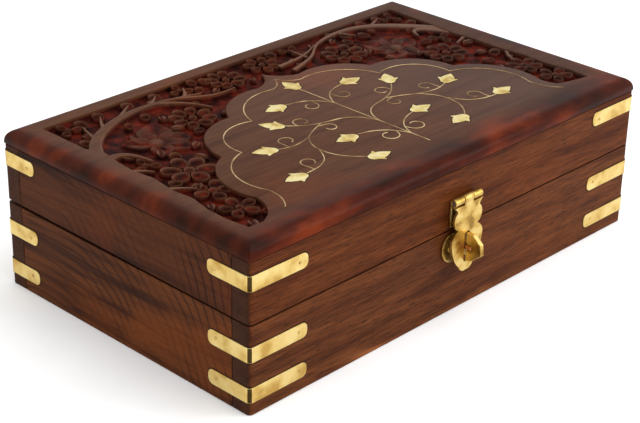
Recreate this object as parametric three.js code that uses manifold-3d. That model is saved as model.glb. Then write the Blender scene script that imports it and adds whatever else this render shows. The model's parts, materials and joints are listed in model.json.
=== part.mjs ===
// A hinged rosewood jewelry box with a carved and inlaid lid, brass corner straps, a hasp over a turning
// staple, two butt hinges and a velvet lining. Millimetres, +Z up. The origin is on the floor under the
// middle of the wooden box, the front with the hasp faces -Y, and the hinges are at +Y.

import * as THREE from 'three';
import { mergeVertices } from 'three/addons/utils/BufferGeometryUtils.js';
import Module from 'manifold-3d';

const wasm = await Module();
wasm.setup();

// Wooden box
const boxLength = 254;
const boxDepth = 156;
const boardThickness = 10;
const baseHeight = 41;
const lidWallTop = 69.3;
const seamFront = 0.6;
const seamBack = 1.5;
const bottomThickness = 5;
const cornerRadius = 2;
const jointGap = 0.3;

// Lid panel
const panelThickness = 6.4;
const panelEdgeRadius = 5.5;
const carvingDepth = 3;
const carvingRelief = 2.2;
const borderSide = 13;
const borderBack = 10;
const borderFront = 15;

// Brass inlay in the panel
const wireWidth = 1;
const wireDepth = 1;
const inlayProud = 0.1;
const leafShare = 0.0916; // a leaf's length as a share of the carved field's depth

// Corner straps
const strapWidth = 7;
const strapSink = 0.8;
const strapProud = 0.4;
const strapFrontLeg = 32;
const strapEndRadius = 2.7;

// The straps were let in by hand, so no two corners are quite alike. The low and high straps stand at shares
// of the base's height, and the lid's strap a distance below the top of the lid's walls.
const corners = [
  { name: 'front_left', x: -1, y: -1, low: 0.228, high: 0.683, lidDrop: 9.3, sideLeg: 24 },
  { name: 'front_right', x: 1, y: -1, low: 0.237, high: 0.72, lidDrop: 6.3, sideLeg: 24 },
  { name: 'back_left', x: -1, y: 1, low: 0.225, high: 0.707, lidDrop: 6.5, sideLeg: 21 },
  { name: 'back_right', x: 1, y: 1, low: 0.232, high: 0.712, lidDrop: 6.4, sideLeg: 21 },
];

// Velvet lining
const padThickness = 3;
const liningThickness = 1.5;
const liningDrop = 1.5;

// Hinges
const hingeSpacing = 150;
const hingeWidth = 24;
const hingeLeafDepth = 8;
const hingeLeafThickness = 1;
const hingeKnuckleRadius = 2.2;
const hingePinRadius = 1.1;
const pinClearance = 0.2;

// Hasp, its staple and turning wing
const haspPinHeight = 56;
const haspPinStand = 3.2;
const haspPinRadius = 0.8;
const haspKnuckleRadius = 1.8;
const haspBarrel = 18;
const haspWidth = 20;
const haspDrop = 34.6;
const haspThickness = 1.1;
const fixedLeafWidth = 16;
const fixedLeafThickness = 1.2;
const fixedLeafDrop = 12.5;
const stapleHeight = 33;
const stapleLobeRadius = 7.2;
const stapleLobeSpacing = 10.4;
const staplePlateThickness = 1;
const postRadius = 1.5;
const postLength = 8.2;
const wingThickness = 2.2;
const wingHeight = 13.8;
const wingReach = 8.6;
const slotClearance = 0.7;
const nailHeadRadius = 1.5;
const nailShankRadius = 0.7;
const nailLength = 5;

// Worked out from the above
const halfX = boxLength / 2;
const halfY = boxDepth / 2;
const seamBackTop = baseHeight + seamBack;
const seamFrontTop = baseHeight + seamFront;
const panelBottom = lidWallTop + jointGap;
const panelTop = panelBottom + panelThickness;
const innerX = halfX - boardThickness;
const innerY = halfY - boardThickness;
const hingeAxisY = halfY + hingeKnuckleRadius + 2 * jointGap;
const hingeAxisZ = baseHeight + seamBack / 2;
const haspFace = haspPinStand + 0.4;
const leafSize = leafShare * (boxDepth - borderFront - borderBack);

const wood = { color: 0x6b4028, roughness: 0.42, metalness: 0 };
const carvedWood = { color: 0x5c3a30, roughness: 0.4, metalness: 0 };
const brass = { color: 0xc9a545, roughness: 0.3, metalness: 1 };
const paleBrass = { color: 0xe3cd7c, roughness: 0.35, metalness: 1 };
const steel = { color: 0x8a8682, roughness: 0.4, metalness: 1 };
const copper = { color: 0xa5673f, roughness: 0.4, metalness: 1 };
const velvet = { color: 0x6b1420, roughness: 0.95, metalness: 0 };

const box = new THREE.Group();

// A closed mesh with merged corners, as a solid that can be cut and joined.
function solid(geometry) {
  const plain = geometry.clone();
  plain.deleteAttribute('normal');
  plain.deleteAttribute('uv');
  const merged = mergeVertices(plain, 1e-5);
  return new wasm.Manifold(new wasm.Mesh({
    numProp: 3,
    vertProperties: merged.attributes.position.array,
    triVerts: new Uint32Array(merged.index.array),
  }));
}

function geometryOf(body) {
  const mesh = body.getMesh();
  const geometry = new THREE.BufferGeometry();
  geometry.setAttribute('position', new THREE.BufferAttribute(mesh.vertProperties, 3));
  geometry.setIndex(new THREE.BufferAttribute(mesh.triVerts, 1));
  geometry.computeVertexNormals();
  return geometry;
}

function add(name, body, finish) {
  const mesh = new THREE.Mesh(geometryOf(body), new THREE.MeshStandardMaterial(finish));
  mesh.name = name;
  box.add(mesh);
}

function joined(bodies) {
  return bodies.reduce((whole, body) => whole.add(body));
}

function block(x0, x1, y0, y1, z0, z1) {
  const geometry = new THREE.BoxGeometry(x1 - x0, y1 - y0, z1 - z0);
  geometry.translate((x0 + x1) / 2, (y0 + y1) / 2, (z0 + z1) / 2);
  return solid(geometry);
}

// An outline in plan, raised from z0 to z1.
function prism(shape, z0, z1) {
  const geometry = new THREE.ExtrudeGeometry(shape, { depth: z1 - z0, bevelEnabled: false });
  geometry.translate(0, 0, z0);
  return solid(geometry);
}

// An outline in X and Z, standing out of the front face from one distance to another.
function frontPlate(shape, near, far) {
  const geometry = new THREE.ExtrudeGeometry(shape, {
    depth: far - near,
    bevelEnabled: false,
    curveSegments: 8,
  });
  geometry.rotateX(Math.PI / 2);
  geometry.translate(0, -halfY - near, 0);
  return solid(geometry);
}

// An outline in Y and Z, spread along X.
function sidePlate(shape, x0, x1) {
  const geometry = new THREE.ExtrudeGeometry(shape, { depth: x1 - x0, bevelEnabled: false });
  const turn = new THREE.Matrix4().makeBasis(
    new THREE.Vector3(0, 1, 0),
    new THREE.Vector3(0, 0, 1),
    new THREE.Vector3(1, 0, 0),
  );
  geometry.applyMatrix4(turn);
  geometry.translate(x0, 0, 0);
  return solid(geometry);
}

function rodX(radius, x0, x1, y, z, sides = 16) {
  const geometry = new THREE.CylinderGeometry(radius, radius, x1 - x0, sides);
  geometry.rotateZ(Math.PI / 2);
  geometry.translate((x0 + x1) / 2, y, z);
  return solid(geometry);
}

function rodY(radius, y0, y1, x, z, sides = 16) {
  const geometry = new THREE.CylinderGeometry(radius, radius, y1 - y0, sides);
  geometry.translate(x, (y0 + y1) / 2, z);
  return solid(geometry);
}

// Points on an arc from p to q that bulges to the left of its chord by a share of the chord's length.
function arc(p, q, bulge, steps = 6) {
  const chord = new THREE.Vector2().subVectors(q, p);
  const left = new THREE.Vector2(-chord.y, chord.x);
  const half = 2 * Math.atan(2 * bulge);
  const points = [];
  for (let i = 0; i < steps; i += 1) {
    const angle = half * ((2 * i) / steps - 1);
    const along = 0.5 + Math.sin(angle) / (2 * Math.sin(half));
    const rise = (Math.cos(angle) - Math.cos(half)) / (2 * Math.sin(half));
    points.push(p.clone().addScaledVector(chord, along).addScaledVector(left, rise));
  }
  return points;
}

// The outline of a strip of even width along a row of points.
function ribbon(points, width) {
  const sides = [[], []];
  points.forEach((point, i) => {
    const before = points[Math.max(i - 1, 0)];
    const after = points[Math.min(i + 1, points.length - 1)];
    const first = new THREE.Vector2().subVectors(i ? point : after, i ? before : point).normalize();
    const second = new THREE.Vector2().subVectors(i < points.length - 1 ? after : point,
      i < points.length - 1 ? point : before).normalize();
    const mitre = new THREE.Vector2(-first.y - second.y, first.x + second.x).normalize();
    const reach = Math.min(width / 2 / Math.max(mitre.dot(new THREE.Vector2(-first.y, first.x)), 0.4), width);
    sides[0].push(point.clone().addScaledVector(mitre, reach));
    sides[1].unshift(point.clone().addScaledVector(mitre, -reach));
  });
  return new THREE.Shape([...sides[0], ...sides[1]]);
}

function smooth(points, steps) {
  const curve = new THREE.SplineCurve(points);
  return curve.getSpacedPoints(steps);
}

// ---- Corner straps ----

// A strap bent round a corner and let into both faces. Grown by a clearance it is the strap's mortise.
function strap(corner, z, grow = 0) {
  const outer = grow ? 1 : strapProud;
  const inner = -strapSink - grow;
  const half = strapWidth / 2 + grow;
  const endRadius = strapEndRadius + grow;
  const rise = strapWidth / 2 - strapEndRadius;
  const legX = halfX - strapFrontLeg + strapEndRadius;
  const legY = halfY - corner.sideLeg + strapEndRadius;
  const bend = (offset, reverse) => {
    const points = [new THREE.Vector2(legX, halfY + offset)];
    for (let i = 0; i <= 4; i += 1) {
      const angle = Math.PI / 2 * (1 - i / 4);
      points.push(new THREE.Vector2(
        halfX - cornerRadius + (cornerRadius + offset) * Math.cos(angle),
        halfY - cornerRadius + (cornerRadius + offset) * Math.sin(angle),
      ));
    }
    points.push(new THREE.Vector2(halfX + offset, legY));
    return reverse ? points.reverse() : points;
  };
  const place = (p) => new THREE.Vector2(p.x * corner.x, p.y * corner.y);
  const band = new THREE.Shape([...bend(outer), ...bend(inner, true)].map(place));
  const faces = (half0) => [half0 + inner, half0 + outer];
  const [y0, y1] = faces(halfY).map((y) => y * corner.y).sort((a, b) => a - b);
  const [x0, x1] = faces(halfX).map((x) => x * corner.x).sort((a, b) => a - b);
  return joined([
    prism(band, z - half, z + half),
    wasm.Manifold.hull([-rise, rise].map((dz) => rodY(endRadius, y0, y1, legX * corner.x, z + dz, 16))),
    wasm.Manifold.hull([-rise, rise].map((dz) => rodX(endRadius, x0, x1, legY * corner.y, z + dz, 16))),
  ]);
}

function baseStrapHeights(corner) {
  return [corner.low * baseHeight, corner.high * baseHeight];
}

function lidStrapHeights(corner) {
  return [lidWallTop - corner.lidDrop];
}

// ---- Wooden boards ----

// A full-length front or back board with its two outer corners rounded, in plan.
function longBoardPlan(side) {
  const shape = new THREE.Shape();
  const r = cornerRadius;
  shape.moveTo(-halfX, halfY - boardThickness);
  shape.lineTo(-halfX, halfY - r);
  shape.absarc(-halfX + r, halfY - r, r, Math.PI, Math.PI / 2, true);
  shape.lineTo(halfX - r, halfY);
  shape.absarc(halfX - r, halfY - r, r, Math.PI / 2, 0, true);
  shape.lineTo(halfX, halfY - boardThickness);
  return new THREE.Shape(shape.getPoints(4).map((p) => new THREE.Vector2(p.x, p.y * side)));
}

function sideBoard(side, outline) {
  const inside = side * innerX;
  const outside = side * halfX;
  return sidePlate(new THREE.Shape(outline), Math.min(inside, outside), Math.max(inside, outside));
}

function mortises(heightsOf) {
  return joined(corners.flatMap((corner) => heightsOf(corner).map((z) => strap(corner, z, jointGap))));
}

function hingeMortise(centre, z0, z1) {
  const half = hingeWidth / 2 + jointGap;
  return block(centre - half, centre + half, halfY - hingeLeafDepth - jointGap, halfY + 1, z0, z1);
}

const hingeCentres = [-hingeSpacing / 2, hingeSpacing / 2];
const leafHalfGap = jointGap / 2;
const baseLeafBottom = hingeAxisZ - leafHalfGap - hingeLeafThickness;
const lidLeafTop = hingeAxisZ + leafHalfGap + hingeLeafThickness;
const sideReach = innerY - jointGap;

function addBaseWood() {
  const cuts = mortises(baseStrapHeights);
  const hingeCuts = joined(hingeCentres.map((x) => hingeMortise(x, baseLeafBottom - jointGap, baseHeight + 1)));
  const nails = joined(stapleNailPlaces().map(([x, z]) => nailHole(x, z)));
  add('base_front_board', prism(longBoardPlan(-1), 0, baseHeight).subtract(cuts).subtract(nails), wood);
  add('base_back_board', prism(longBoardPlan(1), 0, baseHeight).subtract(cuts).subtract(hingeCuts), wood);
  const outline = [[-sideReach, 0], [sideReach, 0], [sideReach, baseHeight], [-sideReach, baseHeight]];
  const points = outline.map(([y, z]) => new THREE.Vector2(y, z));
  add('base_left_board', sideBoard(-1, points).subtract(cuts), wood);
  add('base_right_board', sideBoard(1, points).subtract(cuts), wood);
  const x = innerX - jointGap;
  add('bottom_panel', block(-x, x, -sideReach, sideReach, 0, bottomThickness), wood);
}

// The lid's side boards are cut on a slope, because the seam is wider at the hinges.
function addLidWood() {
  const cuts = mortises(lidStrapHeights);
  const hingeCuts = joined(hingeCentres.map((x) => hingeMortise(x, baseHeight, lidLeafTop + jointGap)));
  const nails = joined(fixedLeafNailPlaces().map(([x, z]) => nailHole(x, z)));
  const seamAt = (y) => baseHeight + seamFront + (seamBack - seamFront) * (y + halfY) / boxDepth;
  const frontBlank = prism(longBoardPlan(-1), seamFrontTop, lidWallTop);
  const backBlank = prism(longBoardPlan(1), seamBackTop, lidWallTop);
  add('lid_front_board', frontBlank.subtract(cuts).subtract(nails), wood);
  add('lid_back_board', backBlank.subtract(cuts).subtract(hingeCuts), wood);
  const points = [
    new THREE.Vector2(-sideReach, seamAt(-sideReach)),
    new THREE.Vector2(sideReach, seamAt(sideReach)),
    new THREE.Vector2(sideReach, lidWallTop),
    new THREE.Vector2(-sideReach, lidWallTop),
  ];
  add('lid_left_board', sideBoard(-1, points).subtract(cuts), wood);
  add('lid_right_board', sideBoard(1, points).subtract(cuts), wood);
}

// ---- Carved lid panel and its brass inlay ----

const field = {
  left: -halfX + borderSide,
  right: halfX - borderSide,
  front: -halfY + borderFront,
  back: halfY - borderBack,
};

// A place on the panel: u runs from -1 at the left of the carved field to 1 at its right, v from 0 at its
// front to 1 at its back.
function onField(u, v) {
  return new THREE.Vector2(u * field.right, field.front + v * (field.back - field.front));
}

// One half of a cusped arch from its foot up to the apex, and the other half mirrored.
function cuspedArch(knots, bulges, side) {
  const points = [];
  for (let i = 0; i < knots.length - 1; i += 1) {
    const p = onField(side * knots[i][0], knots[i][1]);
    const q = onField(side * knots[i + 1][0], knots[i + 1][1]);
    points.push(...arc(p, q, side * bulges[i]));
  }
  return points;
}

function wholeArch(knots, bulges) {
  const left = cuspedArch(knots, bulges, -1);
  const right = cuspedArch(knots, bulges, 1);
  const apex = onField(...knots[knots.length - 1]);
  return [...left, apex, ...right.reverse()];
}

const medallionKnots = [[0.895, 0], [0.825, 0.115], [0.675, 0.42], [0.408, 0.63], [0.118, 0.75], [0, 0.84]];
const medallionBulges = [0.1, -0.2, -0.22, -0.18, 0.14];
const wireKnots = [[0.807, 0.008], [0.755, 0.13], [0.6, 0.39], [0.368, 0.553], [0.079, 0.706], [0, 0.77]];
const wireBulges = [0.12, -0.24, -0.3, -0.21, 0.12];

// The vine: its branches on the right half, each a smooth line through a few points.
const branches = [
  [[0, 0.473], [0.053, 0.534], [0.11, 0.566], [0.158, 0.573]],
  [[0, 0.26], [0.035, 0.328], [0.096, 0.363], [0.19, 0.378], [0.27, 0.414], [0.315, 0.455]],
  [[0.19, 0.378], [0.28, 0.345], [0.35, 0.317], [0.43, 0.31], [0.478, 0.322]],
  [[0.325, 0.325], [0.364, 0.26], [0.364, 0.183], [0.325, 0.118], [0.292, 0.094]],
  [[0.364, 0.229], [0.412, 0.172], [0.482, 0.141], [0.545, 0.132]],
  [[0, 0.122], [0.053, 0.187], [0.11, 0.221], [0.155, 0.231]],
];
const stemFoot = 0.03;
const stemTop = 0.635;

// Tendrils: the branch point that each starts from, the centre of its curl, and the curl's radius as a share
// of a leaf's length.
const tendrils = [
  { from: [0.06, 0.54], centre: [0.1, 0.504], radius: 0.267 },
  { from: [0.27, 0.414], centre: [0.225, 0.431], radius: 0.275 },
  { from: [0.43, 0.31], centre: [0.4, 0.365], radius: 0.283 },
  { from: [0.5, 0.137], centre: [0.485, 0.202], radius: 0.283 },
  { from: [0.22, 0.37], centre: [0.165, 0.329], radius: 0.242 },
  { from: [0, 0.122], centre: [0.08, 0.148], radius: 0.317 },
];

// Leaves: the place of each root on the right half, and the way its tip points, in degrees.
const leaves = [
  { name: 'top', root: [0, 0.645], heading: 90 },
  { name: 'upper', root: [0.166, 0.574], heading: -3 },
  { name: 'shoulder', root: [0.319, 0.464], heading: 58 },
  { name: 'outer', root: [0.487, 0.324], heading: 25 },
  { name: 'tip', root: [0.555, 0.133], heading: 3 },
  { name: 'foot', root: [0.284, 0.089], heading: 188 },
  { name: 'lower', root: [0.163, 0.232], heading: -3 },
];

function vinePaths(side) {
  const place = ([u, v]) => onField(side * u, v);
  const paths = branches.map((points) => smooth(points.map(place), 6));
  tendrils.forEach(({ from, centre, radius }) => {
    const start = place(from);
    const middle = place(centre);
    const lead = Math.atan2(start.y - middle.y, start.x - middle.x);
    const curl = [start];
    for (let i = 1; i <= 7; i += 1) {
      const angle = lead + side * (i / 7) * Math.PI * 1.65;
      const reach = radius * leafSize * (1 - 0.25 * i / 7);
      curl.push(new THREE.Vector2(middle.x + reach * Math.cos(angle), middle.y + reach * Math.sin(angle)));
    }
    paths.push(curl);
  });
  return paths;
}

function vine(grow, z0, z1) {
  const stem = [onField(0, stemFoot), onField(0, stemTop)];
  const paths = [stem, ...vinePaths(-1), ...vinePaths(1)];
  return joined(paths.map((path) => prism(ribbon(path, wireWidth + 2 * grow), z0, z1)));
}

// An ivy leaf: a rounded root, two barbs and a long tip.
function leafShape(root, heading, grow) {
  const outline = [[0, -0.06], [0.04, -0.2], [0.25, -0.31], [0.46, -0.41], [0.5, -0.3], [0.72, -0.18], [1, 0]];
  const mirrored = outline.slice(0, -1).reverse().map(([x, y]) => [x, -y]);
  const angle = heading * Math.PI / 180;
  const scale = leafSize + 2 * grow;
  const points = [...outline, ...mirrored].map(([x, y]) => new THREE.Vector2(x * scale - grow, y * scale)
    .rotateAround(new THREE.Vector2(), angle).add(root));
  return new THREE.Shape(points);
}

function leafPlaces() {
  return leaves.flatMap(({ name, root, heading }) => {
    const sides = root[0] ? [['left', -1], ['right', 1]] : [['middle', 1]];
    return sides.map(([label, side]) => ({
      name: `inlay_leaf_${name}_${label}`,
      root: onField(side * root[0], root[1]),
      heading: side > 0 ? heading : 180 - heading,
    }));
  });
}

// Flowers in the carved border: place on the right half, radius.
const rosettes = [
  [0.5, 0.75, 11], [0.74, 0.74, 12.5], [0.83, 0.5, 10], [0.12, 0.9, 8.5], [0.93, 0.93, 5], [0.92, 0.2, 7],
  [0.33, 0.92, 5.5], [0.93, 0.36, 5],
];

function carvedRelief() {
  const top = panelTop - carvingDepth + carvingRelief;
  const bottom = panelTop - carvingDepth - 0.5;
  return joined([-1, 1].flatMap((side) => rosettes.map(([u, v, radius]) => {
    const place = onField(side * u, v);
    const geometry = new THREE.CylinderGeometry(radius * 0.7, radius, top - bottom, 14);
    geometry.rotateX(Math.PI / 2);
    geometry.translate(place.x, place.y, (top + bottom) / 2);
    return solid(geometry);
  })));
}

// The panel's blank: its four top edges are rounded over. The bevel below the joint line is cut away.
function panelBlank() {
  const r = panelEdgeRadius;
  const shape = new THREE.Shape();
  const x = halfX - r;
  const y = halfY - r;
  shape.moveTo(-x, -y);
  shape.lineTo(x, -y);
  shape.lineTo(x, y);
  shape.lineTo(-x, y);
  const geometry = new THREE.ExtrudeGeometry(shape, {
    depth: panelThickness,
    bevelThickness: r,
    bevelSize: r,
    bevelSegments: 5,
  });
  geometry.translate(0, 0, panelTop - r - panelThickness);
  const keep = block(-halfX - 1, halfX + 1, -halfY - 1, halfY + 1, panelBottom, panelTop + 1);
  return solid(geometry).intersect(keep);
}

function addPanel() {
  const arch = wholeArch(medallionKnots, medallionBulges);
  const recess = new THREE.Shape([
    new THREE.Vector2(field.left, field.front),
    ...arch,
    new THREE.Vector2(field.right, field.front),
    new THREE.Vector2(field.right, field.back),
    new THREE.Vector2(field.left, field.back),
  ]);
  const wire = wholeArch(wireKnots, wireBulges);
  const grooveBottom = panelTop - wireDepth - jointGap;
  const wireBottom = panelTop - wireDepth;
  const inlayTop = panelTop + inlayProud;
  const pocketTop = panelTop + 1;
  const leafPocket = (leaf) => prism(leafShape(leaf.root, leaf.heading, jointGap), grooveBottom, pocketTop);
  const pockets = joined([
    prism(ribbon(wire, wireWidth + 2 * jointGap), grooveBottom, pocketTop),
    vine(jointGap, grooveBottom, pocketTop),
    ...leafPlaces().map(leafPocket),
  ]);
  const cavity = prism(recess, panelTop - carvingDepth, panelTop + 1).subtract(carvedRelief());
  add('carved_panel', panelBlank().subtract(cavity).subtract(pockets), carvedWood);
  add('medallion_wire', prism(ribbon(wire, wireWidth), wireBottom, inlayTop), paleBrass);
  add('vine_wire', vine(0, wireBottom, inlayTop), paleBrass);
  leafPlaces().forEach((leaf) => {
    add(leaf.name, prism(leafShape(leaf.root, leaf.heading, 0), wireBottom, inlayTop), paleBrass);
  });
}

// ---- Straps ----

function addStraps() {
  corners.forEach((corner) => {
    const [low, high] = baseStrapHeights(corner);
    add(`base_strap_low_${corner.name}`, strap(corner, low), brass);
    add(`base_strap_high_${corner.name}`, strap(corner, high), brass);
    add(`lid_strap_${corner.name}`, strap(corner, ...lidStrapHeights(corner)), brass);
  });
}

// ---- Lining ----

function addLining() {
  const x = innerX - jointGap;
  const y = innerY - jointGap;
  const padTop = bottomThickness + jointGap + padThickness;
  const z0 = padTop + jointGap;
  const z1 = baseHeight - liningDrop;
  const t = liningThickness;
  add('base_floor_pad', block(-x, x, -y, y, bottomThickness + jointGap, padTop), velvet);
  add('base_lining_front', block(-x, x, -y, -y + t, z0, z1), velvet);
  add('base_lining_back', block(-x, x, y - t, y, z0, z1), velvet);
  add('base_lining_left', block(-x, -x + t, -y + t + jointGap, y - t - jointGap, z0, z1), velvet);
  add('base_lining_right', block(x - t, x, -y + t + jointGap, y - t - jointGap, z0, z1), velvet);
  add('lid_pad', block(-x, x, -y, y, lidWallTop - padThickness, lidWallTop), velvet);
}

// ---- Butt hinges ----

// A leaf that reaches from its mortise to the knuckles. The knuckles are given as spans along X.
function hingeLeaf(centre, z0, z1, knuckles) {
  const half = hingeWidth / 2;
  const flange = block(centre - half, centre + half, halfY - hingeLeafDepth, halfY + jointGap, z0, z1);
  const boreRadius = hingePinRadius + pinClearance;
  const bore = rodX(boreRadius, centre - half - 1, centre + half + 1, hingeAxisY, hingeAxisZ);
  const parts = knuckles.map(([a, b]) => joined([
    rodX(hingeKnuckleRadius, centre + a, centre + b, hingeAxisY, hingeAxisZ),
    block(centre + a, centre + b, halfY - 0.1, hingeAxisY, z0, z1),
  ]));
  return joined([flange, ...parts]).subtract(bore);
}

function addHinges() {
  const half = hingeWidth / 2;
  const third = hingeWidth / 6;
  hingeCentres.forEach((centre, i) => {
    const name = i ? 'right' : 'left';
    const outer = [[-half, -third - leafHalfGap], [third + leafHalfGap, half]];
    const middle = [[-third + leafHalfGap, third - leafHalfGap]];
    add(`hinge_${name}_base_leaf`, hingeLeaf(centre, baseLeafBottom, hingeAxisZ - leafHalfGap, outer), brass);
    add(`hinge_${name}_lid_leaf`, hingeLeaf(centre, hingeAxisZ + leafHalfGap, lidLeafTop, middle), brass);
    add(`hinge_${name}_pin`, rodX(hingePinRadius, centre - half, centre + half, hingeAxisY, hingeAxisZ), steel);
  });
}

// ---- Hasp, staple and wing ----

function fixedLeafNailPlaces() {
  const z = haspPinHeight - fixedLeafDrop + 3;
  return [[-fixedLeafWidth / 2 + 3, z], [fixedLeafWidth / 2 - 3, z]];
}

function stapleNailPlaces() {
  const x = stapleLobeSpacing / 2 + 2.6;
  return [[-x, stapleHeight], [x, stapleHeight]];
}

function nailHole(x, z) {
  return rodY(nailShankRadius + jointGap, -halfY - 3, -halfY + nailLength + jointGap, x, z, 10);
}

// A domed nail whose head lies on a plate of the given outer distance from the front face.
function nail(x, z, plateFace) {
  const profile = [new THREE.Vector2(0, 0)];
  for (let i = 0; i <= 4; i += 1) {
    const angle = Math.PI / 2 * i / 4;
    profile.push(new THREE.Vector2(nailHeadRadius * Math.cos(angle), nailHeadRadius * 0.55 * Math.sin(angle)));
  }
  const dome = new THREE.LatheGeometry(profile, 12);
  dome.rotateX(Math.PI);
  dome.translate(x, -halfY - plateFace - 0.1, z);
  const shank = rodY(nailShankRadius, -halfY - plateFace - 0.2, -halfY + nailLength, x, z, 10);
  return solid(dome).add(shank);
}

// Half of the hasp's scalloped outline, from its top corner down to its foot, as heights below the pin.
function haspShape() {
  const half = haspWidth / 2;
  const neck = half * 0.73;
  const foot = haspDrop;
  const top = haspKnuckleRadius + jointGap;
  const knots = [
    [half * 0.96, top],
    [neck, top + 2.6],
    [neck * 0.87, 13.7],
    [half, 21.5],
    [half * 0.46, foot - 2.3],
    [0, foot],
  ];
  const bulges = [-0.12, 0.28, 0.22, 0.09, 0.2];
  const at = ([x, drop]) => new THREE.Vector2(x, haspPinHeight - drop);
  const right = knots.slice(0, -1).flatMap((knot, i) => arc(at(knot), at(knots[i + 1]), bulges[i], 5));
  const left = right.slice().reverse().map((p) => new THREE.Vector2(-p.x, p.y));
  const shape = new THREE.Shape([...right, at(knots[5]), ...left]);
  const slotHalf = wingThickness / 2 + slotClearance;
  const slotTop = stapleHeight + wingHeight / 2 + slotClearance;
  const slotFoot = stapleHeight - wingHeight / 2 - slotClearance;
  const slot = new THREE.Path();
  slot.absarc(0, slotTop - slotHalf, slotHalf, 0, Math.PI, false);
  slot.absarc(0, slotFoot + slotHalf, slotHalf, Math.PI, 2 * Math.PI, false);
  shape.holes.push(slot);
  return shape;
}

function rectangle(x0, x1, y0, y1) {
  return new THREE.Shape([[x0, y0], [x1, y0], [x1, y1], [x0, y1]].map(([x, y]) => new THREE.Vector2(x, y)));
}

function addHasp() {
  const axisY = -halfY - haspPinStand;
  const half = haspBarrel / 2;
  const third = half / 3;
  const knuckle = (a, b) => rodX(haspKnuckleRadius, a, b, axisY, haspPinHeight);
  const bore = rodX(haspPinRadius + pinClearance, -half - 1, half + 1, axisY, haspPinHeight);
  const leafFar = jointGap + fixedLeafThickness;
  const leaf = frontPlate(rectangle(-fixedLeafWidth / 2, fixedLeafWidth / 2,
    haspPinHeight - fixedLeafDrop, haspPinHeight - haspKnuckleRadius), jointGap, leafFar);
  const arm = (a, b) => frontPlate(rectangle(a, b, haspPinHeight - haspKnuckleRadius - 1, haspPinHeight),
    jointGap, haspPinStand);
  const outer = [[-half, -third - leafHalfGap], [third + leafHalfGap, half]];
  const holes = joined(fixedLeafNailPlaces().map(([x, z]) => nailHole(x, z)));
  const reach = fixedLeafWidth / 2;
  const fixed = joined([
    leaf,
    arm(-reach, -third - leafHalfGap),
    arm(third + leafHalfGap, reach),
    ...outer.map(([a, b]) => knuckle(a, b)),
  ]);
  add('hasp_fixed_leaf', fixed.subtract(bore).subtract(holes), brass);

  const tab = third - leafHalfGap;
  const neck = frontPlate(rectangle(-tab, tab, haspPinHeight - haspKnuckleRadius - 1, haspPinHeight),
    haspPinStand, haspFace + haspThickness);
  const plate = frontPlate(haspShape(), haspFace, haspFace + haspThickness);
  add('hasp_plate', joined([plate, neck, knuckle(-tab, tab)]).subtract(bore), brass);
  add('hasp_pin', rodX(haspPinRadius, -half, half, axisY, haspPinHeight, 12), steel);
  fixedLeafNailPlaces().forEach(([x, z], i) => {
    add(`hasp_nail_${i ? 'right' : 'left'}`, nail(x, z, leafFar), brass);
  });
}

function addStaple() {
  const x = stapleLobeSpacing / 2;
  const r = stapleLobeRadius;
  const shape = new THREE.Shape();
  shape.absarc(-x, stapleHeight, r, Math.PI * 0.28, Math.PI * 1.72, false);
  shape.absarc(x, stapleHeight, r, -Math.PI * 0.72, Math.PI * 0.72, false);
  const far = jointGap + staplePlateThickness;
  const hole = rodY(postRadius + jointGap, -halfY - 3, -halfY + 1, 0, stapleHeight);
  const holes = joined(stapleNailPlaces().map(([px, pz]) => nailHole(px, pz)));
  add('staple_plate', frontPlate(shape, jointGap, far).subtract(hole).subtract(holes), brass);
  stapleNailPlaces().forEach(([px, pz], i) => {
    add(`staple_nail_${i ? 'right' : 'left'}`, nail(px, pz, far), brass);
  });

  const near = haspFace + haspThickness + jointGap;
  const outer = near + wingReach;
  const half = wingHeight / 2;
  const outline = [[near, -half], [near + wingReach * 0.36, -half + 0.8], [outer, -wingHeight * 0.13],
    [outer - 0.6, half * 0.48], [near + wingReach * 0.44, half - 0.1], [near, half]];
  const points = outline.map(([d, z]) => new THREE.Vector2(-halfY - d, stapleHeight + z));
  const socket = rodY(postRadius + jointGap, -halfY - postLength - jointGap, -halfY, 0, stapleHeight);
  const wing = sidePlate(new THREE.Shape(points), -wingThickness / 2, wingThickness / 2);
  add('turn_wing', wing.subtract(socket), brass);
  add('turn_post', rodY(postRadius, -halfY - postLength, -halfY - jointGap, 0, stapleHeight), copper);
}

addBaseWood();
addLining();
addLidWood();
addPanel();
addStraps();
addHinges();
addHasp();
addStaple();

export default box;
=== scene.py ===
# %% [markdown]
# # A rosewood jewelry box with a carved and inlaid lid
#
# The box is built of varnished rosewood boards, dressed with let-in brass straps. Its lid carries a carved
# border round a smooth medallion that is inlaid with brass wire and brass leaves. The working parts come from
# the CAD frame. This lesson gives them their finishes and makes the pieces that only a maker's hand could
# shape: the carving, the inlay, the nail heads, the screws and the velvet.

# %% Load the frame
import json
import math
import random

import bpy
from mathutils import Matrix, Vector


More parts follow.
